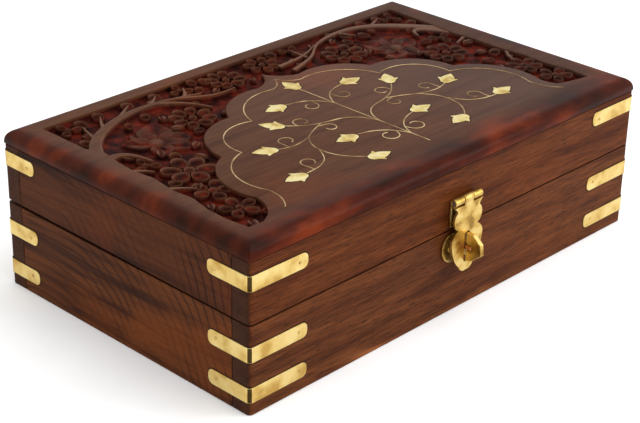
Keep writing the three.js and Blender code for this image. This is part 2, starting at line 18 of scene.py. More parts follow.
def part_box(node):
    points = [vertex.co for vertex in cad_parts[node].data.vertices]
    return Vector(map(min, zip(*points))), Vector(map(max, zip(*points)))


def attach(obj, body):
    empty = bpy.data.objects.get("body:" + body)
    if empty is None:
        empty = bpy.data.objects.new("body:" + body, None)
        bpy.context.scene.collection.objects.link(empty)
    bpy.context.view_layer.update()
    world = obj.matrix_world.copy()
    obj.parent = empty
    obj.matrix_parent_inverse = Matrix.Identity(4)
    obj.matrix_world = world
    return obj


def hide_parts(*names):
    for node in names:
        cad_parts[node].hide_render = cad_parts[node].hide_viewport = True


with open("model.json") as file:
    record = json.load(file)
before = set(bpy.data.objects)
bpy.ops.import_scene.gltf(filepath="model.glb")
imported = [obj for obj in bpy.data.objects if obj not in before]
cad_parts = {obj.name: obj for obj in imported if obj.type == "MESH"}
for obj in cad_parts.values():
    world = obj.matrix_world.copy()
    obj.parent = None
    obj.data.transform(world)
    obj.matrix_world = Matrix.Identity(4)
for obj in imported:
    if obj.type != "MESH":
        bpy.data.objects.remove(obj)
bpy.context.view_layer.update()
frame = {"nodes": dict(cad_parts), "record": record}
MM = 0.001
random.seed(7)

# %% [markdown]
# ## The camera
#
# The picture is taken from the front left corner, from a standing person's height, with a long lens, so the
# far edges of the box shrink only a little. The camera is placed by its direction and its distance from a
# point on the floor under the box, and is turned about its own line of sight by about a degree.

# %% Place the camera
AZIMUTH, ELEVATION, ROLL = math.radians(-46.37), math.radians(26.4), math.radians(1.19)
TARGET = Vector((0.0259, 0.0312, 0))
DISTANCE = 0.8494
level = math.cos(ELEVATION)
back = Vector((math.sin(AZIMUTH) * level, -math.cos(AZIMUTH) * level, math.sin(ELEVATION)))
bpy.ops.object.camera_add(location=TARGET + back * DISTANCE)
camera = bpy.context.object
camera.rotation_mode = "QUATERNION"
camera.rotation_quaternion = (-back).to_track_quat("-Z", "Y")
camera.rotation_quaternion = camera.rotation_quaternion @ Matrix.Rotation(ROLL, 3, "Z").to_quaternion()
camera.data.lens = 96
camera.data.clip_start = 0.05
bpy.context.scene.camera = camera
bpy.context.scene.view_settings.view_transform = "Standard"
print("camera at", [round(v, 3) for v in camera.location])

# %% [markdown]
# ## The floor and the light
#
# The box stands on plain white paper under large soft lights. Polished wood and brass show what they reflect,
# so most of the look comes from the bright surroundings: a white world, a wide light overhead, and a second
# one at the right that leaves the left side darker than the front.

# %% Helpers for colours and nodes
def linear(hex_colour):
    channels = [int(hex_colour[i:i + 2], 16) / 255 for i in (1, 3, 5)]
    return [c / 12.92 if c <= 0.04045 else ((c + 0.055) / 1.055) ** 2.4 for c in channels] + [1]


def add_node(tree, kind, inputs=None, **settings):
    made = tree.nodes.new("ShaderNode" + kind)
    for name, value in settings.items():
        setattr(made, name, value)
    for socket, value in (inputs or {}).items():
        if isinstance(value, bpy.types.Node):
            value = value.outputs[0]
        if isinstance(value, bpy.types.NodeSocket):
            tree.links.new(value, made.inputs[socket])
        else:
            made.inputs[socket].default_value = value
    return made


def math_node(tree, operation, *values):
    return add_node(tree, "Math", dict(enumerate(values)), operation=operation)


def product(tree, first, *others):
    for other in others:
        first = math_node(tree, "MULTIPLY", first, other)
    return first


def remap(tree, value, source, target=(0, 1), **settings):
    """Stretch one range of a value on to another, and hold it at the ends."""
    return add_node(tree, "MapRange", {"Value": value, "From Min": source[0], "From Max": source[1],
                                       "To Min": target[0], "To Max": target[1]}, **settings)


def mix(tree, share, first, second):
    return add_node(tree, "MixRGB", {"Fac": share, "Color1": first, "Color2": second})


def noise(tree, place, scale, detail=2.0, **sockets):
    return add_node(tree, "TexNoise", {"Vector": place, "Scale": scale, "Detail": detail, **sockets})


def mapped(tree, place, offset, scale):
    return add_node(tree, "Mapping", {"Vector": place, "Location": offset, "Scale": scale})


def texture_space(tree, output="Object"):
    return add_node(tree, "TexCoord").outputs[output]


def ramp(tree, source, stops):
    made = add_node(tree, "ValToRGB", {"Fac": source})
    while len(made.color_ramp.elements) < len(stops):
        made.color_ramp.elements.new(0.5)
    for element, (place, colour) in zip(made.color_ramp.elements, stops):
        element.position = place
        element.color = linear(colour)
    return made


def finish_material(tree, **sockets):
    """One principled shader; each keyword is a socket's name with its spaces as underscores."""
    inputs = {name.replace("_", " "): value for name, value in sockets.items()}
    add_node(tree, "OutputMaterial", {"Surface": add_node(tree, "BsdfPrincipled", inputs)})


def new_material(name):
    material = bpy.data.materials.new(name)
    material.use_nodes = True
    material.node_tree.nodes.clear()
    return material, material.node_tree


# %% Floor, world and lights
WORLD_STRENGTH = 0.95
BOX_MIDDLE = Vector((0, 0, 0.04))
world = bpy.data.worlds.new("white_surroundings")
bpy.context.scene.world = world
world.use_nodes = True
world.node_tree.nodes["Background"].inputs["Color"].default_value = (1, 1, 1, 1)
world.node_tree.nodes["Background"].inputs["Strength"].default_value = WORLD_STRENGTH

paper, tree = new_material("white_paper")
fibres = add_node(tree, "TexNoise", {"Scale": 900.0, "Detail": 2.0})
finish_material(tree, Base_Color=ramp(tree, fibres, [(0, "#F6F6F6"), (1, "#FFFFFF")]), Roughness=0.9,
                Specular_IOR_Level=0.1, Emission_Color=linear("#FFFFFF"), Emission_Strength=0.06)
bpy.ops.mesh.primitive_plane_add(size=30, location=(0, 0, -0.0002))
floor = bpy.context.object
floor.name = "floor"
floor.data.materials.append(paper)


def area_light(name, place, size, power):
    bpy.ops.object.light_add(type="AREA", location=place)
    light = bpy.context.object
    light.name = name
    light.data.shape = "DISK"
    light.data.size = size
    light.data.energy = power
    light.rotation_mode = "QUATERNION"
    light.rotation_quaternion = (BOX_MIDDLE - Vector(place)).to_track_quat("-Z", "Y")


area_light("overhead_light", (0.3, -0.5, 1.6), 1.6, 12)
area_light("front_light", (1.1, -1.3, 0.9), 1.0, 9)

# %% [markdown]
# ## Varnished rosewood
#
# Rosewood is a dense tropical wood with open pores. The saw cuts its growth rings into long streaks that run
# with the grain, some nearly black and some orange, and the pores show as short dark dashes. Here it is
# planed, stained and given a thin coat of satin varnish, which gives a soft gleam. Everything is worked out
# from the grain's direction: a pattern stretched along it for the streaks, a finer one for the fibres, and a
# third, with a sharp threshold, for the pores. A board's ends, where the fibres are cut across, drink more
# stain and come out darker.

# %% The rosewood pattern
STREAK_LENGTH, STREAK_WIDTH = 95 * MM, 5.5 * MM
FIBRE_LENGTH, FIBRE_WIDTH = 14 * MM, 0.7 * MM
PORE_LENGTH, PORE_WIDTH = 5 * MM, 0.55 * MM  # a real pore is half as wide, too fine to show
PATCH_SIZE = 60 * MM
PORE_BROWN = "#1C0D09"
ALONG = {"X": 0, "Y": 1}


def grain_noise(tree, grain, offset, length, width, detail=3.0, warp=0.0):
    scale = [1 / width] * 3
    scale[ALONG[grain]] = 1 / length
    place = mapped(tree, texture_space(tree), offset, scale)
    return noise(tree, place, 1.0, detail, Distortion=warp)


def ring_pattern(tree, grain, offset, figure, arches):
    """Growth rings: wavy bands along the grain, or, with arches, rings round the heart of the log."""
    place = texture_space(tree)
    if arches:
        ring_place, ring_scale = (0, -arches[0] * MM, -arches[1] * MM), [0.2, 1.0, 1.0]
        waver = {"Scale": 66.0, "Distortion": 9.0, "Detail": 1.5, "Detail Scale": 0.35}
    else:
        ring_place, ring_scale = offset, [1.0, 1.0, 1.0]
        ring_scale[ALONG[grain]] = 0.16
        waver = {"Scale": 95.0, "Distortion": 6.0, "Detail": 3.0, "Detail Scale": 0.3}
    rings = add_node(tree, "TexWave", {"Vector": mapped(tree, place, ring_place, ring_scale), **waver},
                     wave_type="RINGS" if arches else "BANDS", rings_direction="X",
                     bands_direction="DIAGONAL", wave_profile="SIN")
    rings = remap(tree, rings.outputs["Fac"], (0.02, 0.34), (figure, 0))
    if arches:
        # these rings fade in and out across the board
        fade = noise(tree, mapped(tree, place, offset, [24.0] * 3), 1.0, 1.0)
        rings = product(tree, rings, remap(tree, fade, (0.38, 0.58), (0.2, 1)))
    return rings


def rosewood_pattern(tree, grain, offset, tones, figure, patch, arches=None, contrast=1.0):
    """The wood's colour and the height of its pores, from four tones: streak, body, light and patch.

    Figure is how strong the rings are, and patch how strong the warm patches. Arches are the rings of a board
    sawn near the heart of the log: they are given by the heart's place, and they hide most of the fibres and
    pores. Contrast is how strong those are in a board without arches."""
    if arches:
        contrast = 0.4
    streaks = grain_noise(tree, grain, offset, STREAK_LENGTH, STREAK_WIDTH, 4.0, 0.5)
    colour = ramp(tree, streaks, [(0.3, tones[0]), (0.44, tones[1]), (0.6, tones[2]), (0.72, tones[1])])
    colour = mix(tree, ring_pattern(tree, grain, offset, figure, arches), colour, linear(tones[0]))
    patches = noise(tree, mapped(tree, texture_space(tree), offset, [1 / PATCH_SIZE] * 3), 1.0, 3.0)
    patches = remap(tree, patches, (0.5, 0.68), (0, patch))
    colour = mix(tree, patches, colour, linear(tones[3]))
    fibres = grain_noise(tree, grain, offset, FIBRE_LENGTH, FIBRE_WIDTH, 3.0)
    fibres = remap(tree, fibres, (0.25, 0.75), (0.6 - 0.26 * contrast, 0.6 + 0.26 * contrast))
    colour = add_node(tree, "VectorMath", {0: colour, "Scale": fibres}, operation="SCALE")
    pores = remap(tree, grain_noise(tree, grain, offset, PORE_LENGTH, PORE_WIDTH, 1.0), (0.6, 0.68))
    colour = mix(tree, product(tree, pores, 0.5 * contrast), colour, linear(PORE_BROWN))
    return colour, math_node(tree, "SUBTRACT", fibres, pores)


def varnished(tree, colour, height, roughness, coat=0.02, bump=0.25):
    """A satin varnish over whatever colour and height it is given."""
    relief = add_node(tree, "Bump", {"Strength": bump, "Distance": 0.12 * MM, "Height": height})
    finish_material(tree, Base_Color=colour, Roughness=roughness, Normal=relief, Coat_Weight=coat,
                    Coat_Roughness=0.22, Specular_IOR_Level=0.03)


# %% [markdown]
# ## The boards
#
# The front and back boards run the whole length, and the side boards stand between them, so the side faces
# show two narrow bands of dark end grain. The boards are the CAD's own solids. What they lack is the small
# round that sanding leaves on every edge, and a live Bevel gives it. The CAD meshes are loose triangles, so a
# Weld joins them and a planar Decimate takes away the cut lines before the Bevel finds the true edges. The
# faces that look straight up or down, which show only when the box is open, are stained dark. A pale streak of
# sapwood runs low on the front board.

# %% Finish the boards
def ease_edges(node, width):
    for kind, settings in (
        ("WELD", {"merge_threshold": 0.002 * MM}),
        ("DECIMATE", {"decimate_type": "DISSOLVE", "angle_limit": math.radians(1)}),
        ("BEVEL", {"width": width, "segments": 2, "angle_limit": math.radians(35)}),
    ):
        modifier = node.modifiers.new(kind.lower(), kind)
        for key, value in settings.items():
            setattr(modifier, key, value)


def dress(node, material):
    node.data.materials.clear()
    node.data.materials.append(material)


EDGE_ROUND = 0.25 * MM
BACK_TONES = ("#3A1C0D", "#663619", "#7B4420", "#8B431A")
BOARDS = {
    # node: grain, pattern offset, four tones, ring strength, patch strength, heart of the arches in millimetres
    "base_front_board": ("X", (0.31, 0.2, 0.013), ("#502815", "#68371C", "#7A4524", "#824723"), 0.3, 0.5),
    "lid_front_board": ("X", (0.95, 0.6, 0.24), ("#512612", "#693417", "#7B421F", "#84431D"), 0.25, 0.6),
    "base_back_board": ("X", (1.7, 0.1, 0.4), BACK_TONES, 0.3, 0.4),
    "lid_back_board": ("X", (2.2, 0.9, 0.7), BACK_TONES, 0.3, 0.4),
    "base_left_board": ("Y", (0.2, 1.3, 0.05), ("#351B10", "#613419", "#774220", "#934A1C"),
                        0.62, 0.6, (52, -30)),
    "lid_left_board": ("Y", (0.6, 2.4, 0.31), ("#31180E", "#572C16", "#68381D", "#813A16"),
                       0.7, 0.45, (60, 10)),
    "base_right_board": ("Y", (1.1, 0.4, 0.55), ("#3A1E12", "#613419", "#73401F", "#8A431A"),
                         0.6, 0.4, (-45, -35)),
    "lid_right_board": ("Y", (1.9, 1.4, 0.83), ("#31180E", "#5A2F17", "#6B3B1E", "#833E18"),
                        0.6, 0.4, (-60, 5)),
    "bottom_panel": ("X", (0.5, 0.5, 0.5), ("#4A2C1C", "#7B5436", "#93694A", "#8E5B38"), 0.2, 0.2),
}
END_GRAIN = [(0.3, "#20130D"), (0.7, "#382318")]
RIM_STAIN, SAPWOOD = "#24140D", "#A9673A"
SAPWOOD_SPAN = ((-80, -50), (28, 4))  # where it fades in and out along the board, in millimetres


def facing(tree, axis):
    """One where the surface looks along an axis, either way, and nought where it looks across it."""
    split = add_node(tree, "SeparateXYZ", {"Vector": texture_space(tree, "Normal")})
    return math_node(tree, "ABSOLUTE", split.outputs[axis])


def sapwood(tree, colour):
    """A pale streak low on the front board, near the floor."""
    split = add_node(tree, "SeparateXYZ", {"Vector": texture_space(tree)})
    streak = remap(tree, split.outputs["Z"], (1.5 * MM, 5 * MM), (0.8, 0))
    for begins, ends in SAPWOOD_SPAN:
        streak = product(tree, streak, remap(tree, split.outputs["X"], (begins * MM, ends * MM)))
    wander = grain_noise(tree, "X", (0.3, 0.1, 0.7), 55 * MM, 9 * MM, 3.0, 0.6)
    streak = product(tree, streak, remap(tree, wander, (0.42, 0.6)))
    return mix(tree, streak, colour, linear(SAPWOOD))


def board_material(name, grain, offset, tones, figure, patch, arches=None):
    material, tree = new_material("varnished_rosewood_" + name)
    colour, height = rosewood_pattern(tree, grain, offset, tones, figure, patch, arches)
    end_colour = ramp(tree, noise(tree, texture_space(tree), 1400.0), END_GRAIN)
    colour = mix(tree, remap(tree, facing(tree, ALONG[grain]), (0.5, 0.9), (0, 0.75)), colour, end_colour)
    colour = mix(tree, remap(tree, facing(tree, 2), (0.6, 0.95), (0, 0.7)), colour, linear(RIM_STAIN))
    if name == "base_front_board":
        colour = sapwood(tree, colour)
    sheen = grain_noise(tree, grain, offset, 40 * MM, 12 * MM, 2.0)
    varnished(tree, colour, height, remap(tree, sheen, (0, 1), (0.36, 0.52)))
    return material


for name, recipe in BOARDS.items():
    ease_edges(frame["nodes"][name], EDGE_ROUND)
    dress(frame["nodes"][name], board_material(name, *recipe))
print("boards:", len(BOARDS))

# %% [markdown]
# ## Brass
#
# The straps, the hasp and its staple are cut from rolled yellow brass sheet, filed by hand and rubbed with
# fine paper, which leaves short scratches and a soft, bright gleam. Lacquer and fingers leave paler and
# browner clouds. Where the metal is hammered round a corner, a dark line is painted down the ridge of the
# bend: a painted reflection, the dark band that the curved ridge reflects.

# %% Brass, steel, copper and inlay
SCRATCH_WIDTH = 0.35 * MM
# the dark reflection painted down the bend of a strap
BEND_REFLECTION_DARK = "#2A1A0C"
FILED_EDGE, TURNED_EDGE = 0.22 * MM, 0.12 * MM


def metal(name, pale, deep, stain, roughness, cloud_size=9 * MM, dark_bend_reflection=False):
    """Rubbed metal with soft clouds of three tones; if asked, a dark reflection is painted down its bends."""
    material, tree = new_material(name)
    place = texture_space(tree)
    clouds = noise(tree, place, 1 / cloud_size, 4.0)
    colour = ramp(tree, clouds, [(0.34, stain), (0.47, deep), (0.62, pale)])
    wide, fine, long = 1 / (8 * SCRATCH_WIDTH), 1 / SCRATCH_WIDTH, 1 / (12 * SCRATCH_WIDTH)
    scratches = [noise(tree, add_node(tree, "Mapping", {"Vector": place, "Scale": scale}), 1.0)
                 for scale in ((wide, wide, fine), (fine, fine, long))]
    scratches = product(tree, *scratches)
    rough = remap(tree, scratches, (0.12, 0.4), (roughness - 0.08, roughness + 0.14))
    if dark_bend_reflection:
        # painted reflection: dark where the surface looks half along X and half along Y, which is the ridge of
        # the bend
        split = add_node(tree, "SeparateXYZ", {"Vector": texture_space(tree, "Normal")})
        both = product(tree, split.outputs["X"], split.outputs["Y"])
        bend_reflection = ramp(tree, math_node(tree, "ABSOLUTE", both), [(0.4, "#000000"), (0.45, "#FFFFFF")])
        colour = mix(tree, product(tree, bend_reflection, 0.95), colour, linear(BEND_REFLECTION_DARK))
    relief = add_node(tree, "Bump", {"Strength": 0.2, "Distance": 0.03 * MM, "Height": scratches})
    finish_material(tree, Base_Color=colour, Metallic=1.0, Roughness=rough, Normal=relief)
    return material


strap_brass = metal("rolled_brass_straps", "#E4CB86", "#D8B96E", "#BE994E", 0.38, dark_bend_reflection=True)
hasp_brass = metal("rolled_brass_hasp", "#DCC077", "#C6A354", "#93702F", 0.34, cloud_size=6 * MM)
inlay_sheet = metal("inlaid_brass_sheet", "#EEDFA6", "#E0C97E", "#C2A258", 0.42, cloud_size=5 * MM)
inlay_wire = metal("inlaid_brass_wire", "#CDB789", "#A88C62", "#7E6646", 0.5, cloud_size=8 * MM)
pin_steel = metal("turned_steel", "#A8A39C", "#8A857E", "#5C564F", 0.3, cloud_size=4 * MM)
post_copper = metal("turned_copper", "#C98A5C", "#AA6A42", "#6E3F24", 0.3, cloud_size=4 * MM)

METALS = {"brass": hasp_brass, "inlay_brass": inlay_sheet, "steel_pin": pin_steel, "copper": post_copper}
slot_of = {part["node"]: part["material_slot"] for part in frame["record"]["subparts"]}
for name, node in frame["nodes"].items():
    if slot_of[name] in METALS:
        dress(node, METALS[slot_of[name]])
        if "wire" not in name:
            ease_edges(node, TURNED_EDGE if "pin" in name else FILED_EDGE)
    if "strap" in name:
        dress(node, strap_brass)
for name in ("medallion_wire", "vine_wire"):
    dress(frame["nodes"][name], inlay_wire)
print("metal nodes:", sum(slot in METALS for slot in slot_of.values()))

# %% [markdown]
# ## Helpers for modelling by hand
#
# Each piece starts as a primitive at its size and is shaped in edit mode. Operators act on whatever is
# selected, so everything is deselected first. An outline is a circle with as many corners as the outline has
# points, each moved to its place.

# %% Selecting, finishing and copying
def deselect():
    if bpy.context.mode != "OBJECT":
        bpy.ops.object.mode_set(mode="OBJECT")
    bpy.ops.object.select_all(action="DESELECT")


def choose(*objects):
    deselect()
    for one in objects:
        one.select_set(True)
    bpy.context.view_layer.objects.active = objects[0]


def apply_modifier(piece, kind, **settings):
    modifier = piece.modifiers.new(kind.lower(), kind)
    for key, value in settings.items():
        setattr(modifier, key, value)
    choose(piece)
    bpy.ops.object.modifier_apply(modifier=modifier.name)


def smooth_by_angle(piece, degrees):
    choose(piece)
    bpy.ops.object.shade_smooth_by_angle(angle=math.radians(degrees))


def outline(name, points, z):
    """A flat face with the given corners, in millimetres, at a height in metres."""
    deselect()
    bpy.ops.mesh.primitive_circle_add(vertices=len(points), radius=1, fill_type="NGON")
    piece = bpy.context.object
    piece.name = piece.data.name = name
    for vertex, (x, y) in zip(piece.data.vertices, points):
        vertex.co = (x * MM, y * MM, z)
    area = sum(a[0] * b[1] - b[0] * a[1] for a, b in zip(points, list(points[1:]) + [points[0]]))
    bpy.ops.object.mode_set(mode="EDIT")
    bpy.ops.mesh.select_all(action="SELECT")
    if area < 0:
        bpy.ops.mesh.flip_normals()
    return piece


def raise_face(height, taper=1.0):
    """Extrude the selected face upwards and narrow it."""
    bpy.ops.mesh.extrude_region_move(TRANSFORM_OT_translate={"value": (0, 0, height)})
    bpy.ops.transform.resize(value=(taper, taper, 1))


def outwards(piece):
    choose(piece)
    bpy.ops.object.mode_set(mode="EDIT")
    bpy.ops.mesh.select_all(action="SELECT")
    bpy.ops.mesh.normals_make_consistent(inside=False)
    bpy.ops.object.mode_set(mode="OBJECT")


def copy_of(master, change=Matrix()):
    """A copy with its own mesh, whose points are turned, sized and moved."""
    copy = master.copy()
    copy.data = master.data.copy()
    copy.data.transform(change)
    bpy.context.collection.objects.link(copy)
    return copy


def copies_of(master, places):
    """Copies on the lid: each place is x and y in millimetres, a size and a heading in degrees."""
    made = []
    for x, y, size, heading in places:
        turn = Matrix.Rotation(math.radians(heading), 4, "Z")
        grow = Matrix.Diagonal((size, size, 1, 1))
        made.append(copy_of(master, Matrix.Translation((x * MM, y * MM, 0)) @ turn @ grow))
    return made


def join(name, objects):
    choose(*objects)
    bpy.ops.object.join()
    piece = bpy.context.object
    piece.name = piece.data.name = name
    return piece

# %% [markdown]
# ## The lid panel
#
# The panel is one thick board. Its four top edges are rounded over, and a field is cut away round the
# medallion, down to a sunk ground, where the carver leaves the flowers standing. The blank is a cube with its
# top edges bevelled, and then its four upright corners. The ground is sunk by a boolean with a shape whose
# outline is drawn the carver's way: straight at the back, a little uneven at the sides, and in cusped arcs
# along the medallion.

# %% The blank
LOW, HIGH = (Vector(corner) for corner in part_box("carved_panel"))
LOW.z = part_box("lid_front_board")[1][2]  # glued straight on to the walls
TOP = HIGH.z
GROUND = TOP - 3 * MM
ROUND, CORNER_ROUND = 5.5 * MM, 2.6 * MM
HAIR = 0.01 * MM


def select_edges(piece, test):
    """Select the edges whose two ends pass a test, and stay in edit mode."""
    bpy.context.tool_settings.mesh_select_mode = (False, True, False)
    choose(piece)
    bpy.ops.object.mode_set(mode="EDIT")
    bpy.ops.mesh.select_all(action="DESELECT")
    bpy.ops.object.mode_set(mode="OBJECT")  # a mesh's own selection is only read outside edit mode
    points = piece.data.vertices
    for edge in piece.data.edges:
        edge.select = test(*(points[i].co for i in edge.vertices))
    bpy.ops.object.mode_set(mode="EDIT")


def on_corner(point):
    """Whether a point of the blank lies on the line up one of its corners, over the round-over too."""
    gap_x, gap_y = HIGH.x - abs(point.x), HIGH.y - abs(point.y)
    return max(gap_x, gap_y) < ROUND + HAIR and abs(gap_x - gap_y) < HAIR


deselect()
bpy.ops.mesh.primitive_cube_add(size=1, location=(LOW + HIGH) / 2, scale=HIGH - LOW)
panel = bpy.context.object
panel.name = panel.data.name = "carved_lid_panel"
bpy.ops.object.transform_apply(location=True, rotation=False, scale=True)
select_edges(panel, lambda a, b: min(a.z, b.z) > TOP - 0.1 * MM)
bpy.ops.mesh.bevel(offset=ROUND, segments=8, profile=0.5, affect="EDGES", clamp_overlap=False)
bpy.ops.object.mode_set(mode="OBJECT")
select_edges(panel, lambda a, b: on_corner(a) and on_corner(b))
bpy.ops.mesh.bevel(offset=CORNER_ROUND, segments=5, profile=0.5, affect="EDGES", clamp_overlap=True)
bpy.ops.object.mode_set(mode="OBJECT")
apply_modifier(panel, "WELD", merge_threshold=2 * HAIR)
print("blank:", len(panel.data.polygons), "faces")

# %% The sunk ground
def arc(p, q, bulge, steps=12):
    """Points from p towards q on an arc that bulges to the left of its chord."""
    p, q = Vector(p), Vector(q)
    chord = q - p
    left = Vector((-chord.y, chord.x))
    half = 2 * math.atan(2 * bulge)
    points = []
    for i in range(steps):
        angle = half * (2 * i / steps - 1)
        along = 0.5 + math.sin(angle) / (2 * math.sin(half))
        rise = (math.cos(angle) - math.cos(half)) / (2 * math.sin(half))
        points.append(tuple(p + chord * along + left * rise))
    return points


def cusped(knots, bulges, side):
    """One half of the medallion's edge, from its foot up to the point at the top."""
    knots = [(side * x, y) for x, y in knots]
    return [point for p, q, bulge in zip(knots, knots[1:], bulges) for point in arc(p, q, side * bulge)]


BULGES = [0.1, -0.2, -0.22, -0.18, 0.14]
LEFT_KNOTS = [(102, -62), (94, -48), (77.5, -9), (46.5, 19.5), (13.5, 35.3), (0, 47)]
RIGHT_KNOTS = [(94.5, -58), (92, -48), (75.5, -8), (46.5, 19.5), (13.5, 35.3), (0, 47)]
LEFT_SIDE = [(-114, 66.5), (-114, 37), (-110.5, 28), (-112.5, 17), (-113.5, 6), (-112, -5), (-114, -20),
             (-113, -31), (-115.5, -42), (-116, -54), (-114.5, -64.5), (-107, -65)]
RIGHT_SIDE = [(111.5, -61.5), (112.5, -50), (111, -38), (112, -22), (110.5, -8), (111, 8), (110, 22),
              (111.5, 38), (112.5, 66.5)]
field = cusped(RIGHT_KNOTS, BULGES, 1) + [RIGHT_KNOTS[-1]] + cusped(LEFT_KNOTS, BULGES, -1)[::-1]
field = RIGHT_SIDE[::-1] + field + LEFT_SIDE[::-1]
cutter = outline("field_cutter", field, GROUND)
raise_face(5 * MM)
bpy.ops.object.mode_set(mode="OBJECT")
outwards(cutter)
apply_modifier(panel, "BOOLEAN", operation="DIFFERENCE", object=cutter, solver="EXACT")
bpy.data.objects.remove(cutter)
apply_modifier(panel, "BEVEL", width=0.35 * MM, segments=3, angle_limit=math.radians(40),
               use_clamp_overlap=True)
smooth_by_angle(panel, 30)
print("panel:", len(panel.data.polygons), "faces, ground at", round(GROUND / MM, 1), "mm")

# %% [markdown]
# ## Carved flowers, buds, leaves and stems
#
# The carver works with a few gouges, so the same forms come again and again: a petal whose rim stands up
# round a scooped hollow, a round boss for a flower's eye, a leaf with a cut along its middle, and broad
# pointed petals for the two lilies. Each is modelled once, at its real size, with its foot a little under the
# ground, and then copied. Stems are curves with a flat-topped section, so their tops stay level while they
# taper. Each lies a hair lower than the one before, so that where two cross, one is clearly over the other.

# %% Model one of each form
SUNK = 0.3 * MM
FOOT = GROUND - SUNK
TILT = 0.06  # a petal rises a little towards its tip


def egg(length, width, corners, blunt=0.15):
    """An egg-shaped outline along X, centred, with its wide end at +X."""
    points = []
    for i in range(corners):
        angle = 2 * math.pi * i / corners
        bulge = 1 + blunt * math.cos(angle)
        points.append((length / 2 * math.cos(angle), width / 2 * math.sin(angle) * bulge))
    return points


def blade(length, width, corners=14):
    """A pointed leaf outline from the origin to +X, widest before its middle."""
    upper = [(length * t, width / 2 * math.sin(math.pi * t ** 0.8) ** 0.9) for t in
             (i / (corners // 2) for i in range(1, corners // 2))]
    return [(0, 0)] + [(x, -y) for x, y in upper] + [(length, 0)] + upper[::-1]


def finish_form(piece, bevel=0.22):
    bpy.ops.object.mode_set(mode="OBJECT")
    outwards(piece)
    apply_modifier(piece, "BEVEL", width=bevel * MM, segments=2, angle_limit=math.radians(30))
    smooth_by_angle(piece, 50)
    return piece


def scooped(name, length, width, rim, height, depth, corners=18):
    """An egg whose top is pushed down inside a rim, and which rises a little towards its far end."""
    piece = outline(name, egg(length, width, corners), FOOT)
    raise_face(height * MM + SUNK, 0.87)
    bpy.ops.mesh.inset(thickness=rim * MM, depth=0)
    bpy.ops.transform.translate(value=(0, 0, -depth * MM))
    bpy.ops.transform.resize(value=(0.88, 0.88, 1))
    bpy.ops.object.mode_set(mode="OBJECT")
    for vertex in piece.data.vertices:
        if vertex.co.z > GROUND:
            vertex.co.z += TILT * vertex.co.x
    return finish_form(piece)


def domed(name, length, width, height):
    """An egg that rises in three steps to a low round top."""
    piece = outline(name, egg(length, width, 18), FOOT)
    raise_face(height * 0.55 * MM + SUNK, 0.95)
    for share in (0.28, 0.17):
        bpy.ops.mesh.inset(thickness=width * 0.13 * MM, depth=0)
        bpy.ops.transform.translate(value=(0, 0, height * share * MM))
    return finish_form(piece, 0.5)


def ribbed(name, length, width, height, rib):
    """A blade whose middle line lies above or below its edges."""
    piece = outline(name, blade(length, width), FOOT)
    raise_face(height * MM + SUNK, 0.86)
    bpy.ops.mesh.bisect(plane_co=(0, 0, 0), plane_no=(0, 1, 0))
    bpy.ops.transform.translate(value=(0, 0, rib * MM))
    return finish_form(piece, 0.18)


petal = scooped("petal_form", 9.4, 7.2, 0.75, 2.5, 1.7)
boss = scooped("boss_form", 4.8, 4.8, 0.8, 2.3, 1.1, 14)
leaf = ribbed("leaf_form", 9.5, 5.2, 2.3, -1.2)
lily_petal = ribbed("lily_petal_form", 17, 14, 1.8, -1.0)
egg_boss = domed("egg_boss_form", 11, 9, 1.95)
forms = [petal, boss, leaf, lily_petal, egg_boss]
print("forms:", {form.name: len(form.data.polygons) for form in forms})

# %% Set the flowers and leaves out over the field, in millimetres
PETAL_TURN = 5  # a petal may be turned this many degrees either way
PETAL_SIZE = (0.94, 1.05)
CROWDED = 6  # with more petals than this, each is narrower and set further out
FLOWERS = [  # x, y, radius, petals, turn
    (-57, 32, 11.5, 8, 10), (50, 40, 12, 8, 0), (-95, -8, 12.5, 6, 25), (88, 7, 11.5, 8, 5),
    (-15.5, 55, 10.5, 8, 12), (10, 57, 9.5, 7, 0), (-106, 59, 6.5, 3, 100), (104, 59, 6.5, 3, 60),
    (-101, -29, 9.5, 5, 40), (103, -30, 9, 6, 15), (-104, -48, 9, 5, 10), (104, -48, 8.5, 5, 20),
    (-40, 60, 6.5, 3, 80), (-105, 8, 6.5, 3, 200), (102, 22, 6.5, 3, 20), (33, 61, 6, 3, 30),
]
BUDS = [  # x, y, size, heading
    (-98, 60, 0.85, 90), (-87, 61.5, 0.85, 70), (-70, 61.5, 0.9, 80), (-54, 61, 0.85, 95),
    (-109, 42, 0.85, 120), (-33, 54, 0.7, 60), (-24, 60, 0.8, 120), (-30, 63, 0.7, 90),
    (-21, 45, 0.6, 250), (-46, 43, 0.6, 0),
    (22, 63, 0.8, 80), (24, 44, 0.7, 200), (69, 57, 0.85, 150), (76, 51, 0.8, 120), (63, 62, 0.7, 120),
    (86, 62.5, 0.85, 80), (97, 62, 0.8, 60), (107, 47, 0.8, 20), (106, 38, 0.85, 340), (93, 24, 0.7, 0),
    (-90, 6, 0.8, 80), (-108, -14, 0.75, 160), (-97, -58, 0.7, 330),
    (96, -14, 0.8, 180), (106, -9, 0.85, 20), (97, -58, 0.6, 200), (99, 40, 0.6, 0),
    (-72, 47, 0.7, 60), (63, 50, 0.7, 130), (-84, 44, 0.6, 60), (36, 52, 0.6, 90), (-64, 20, 0.65, 200),
]
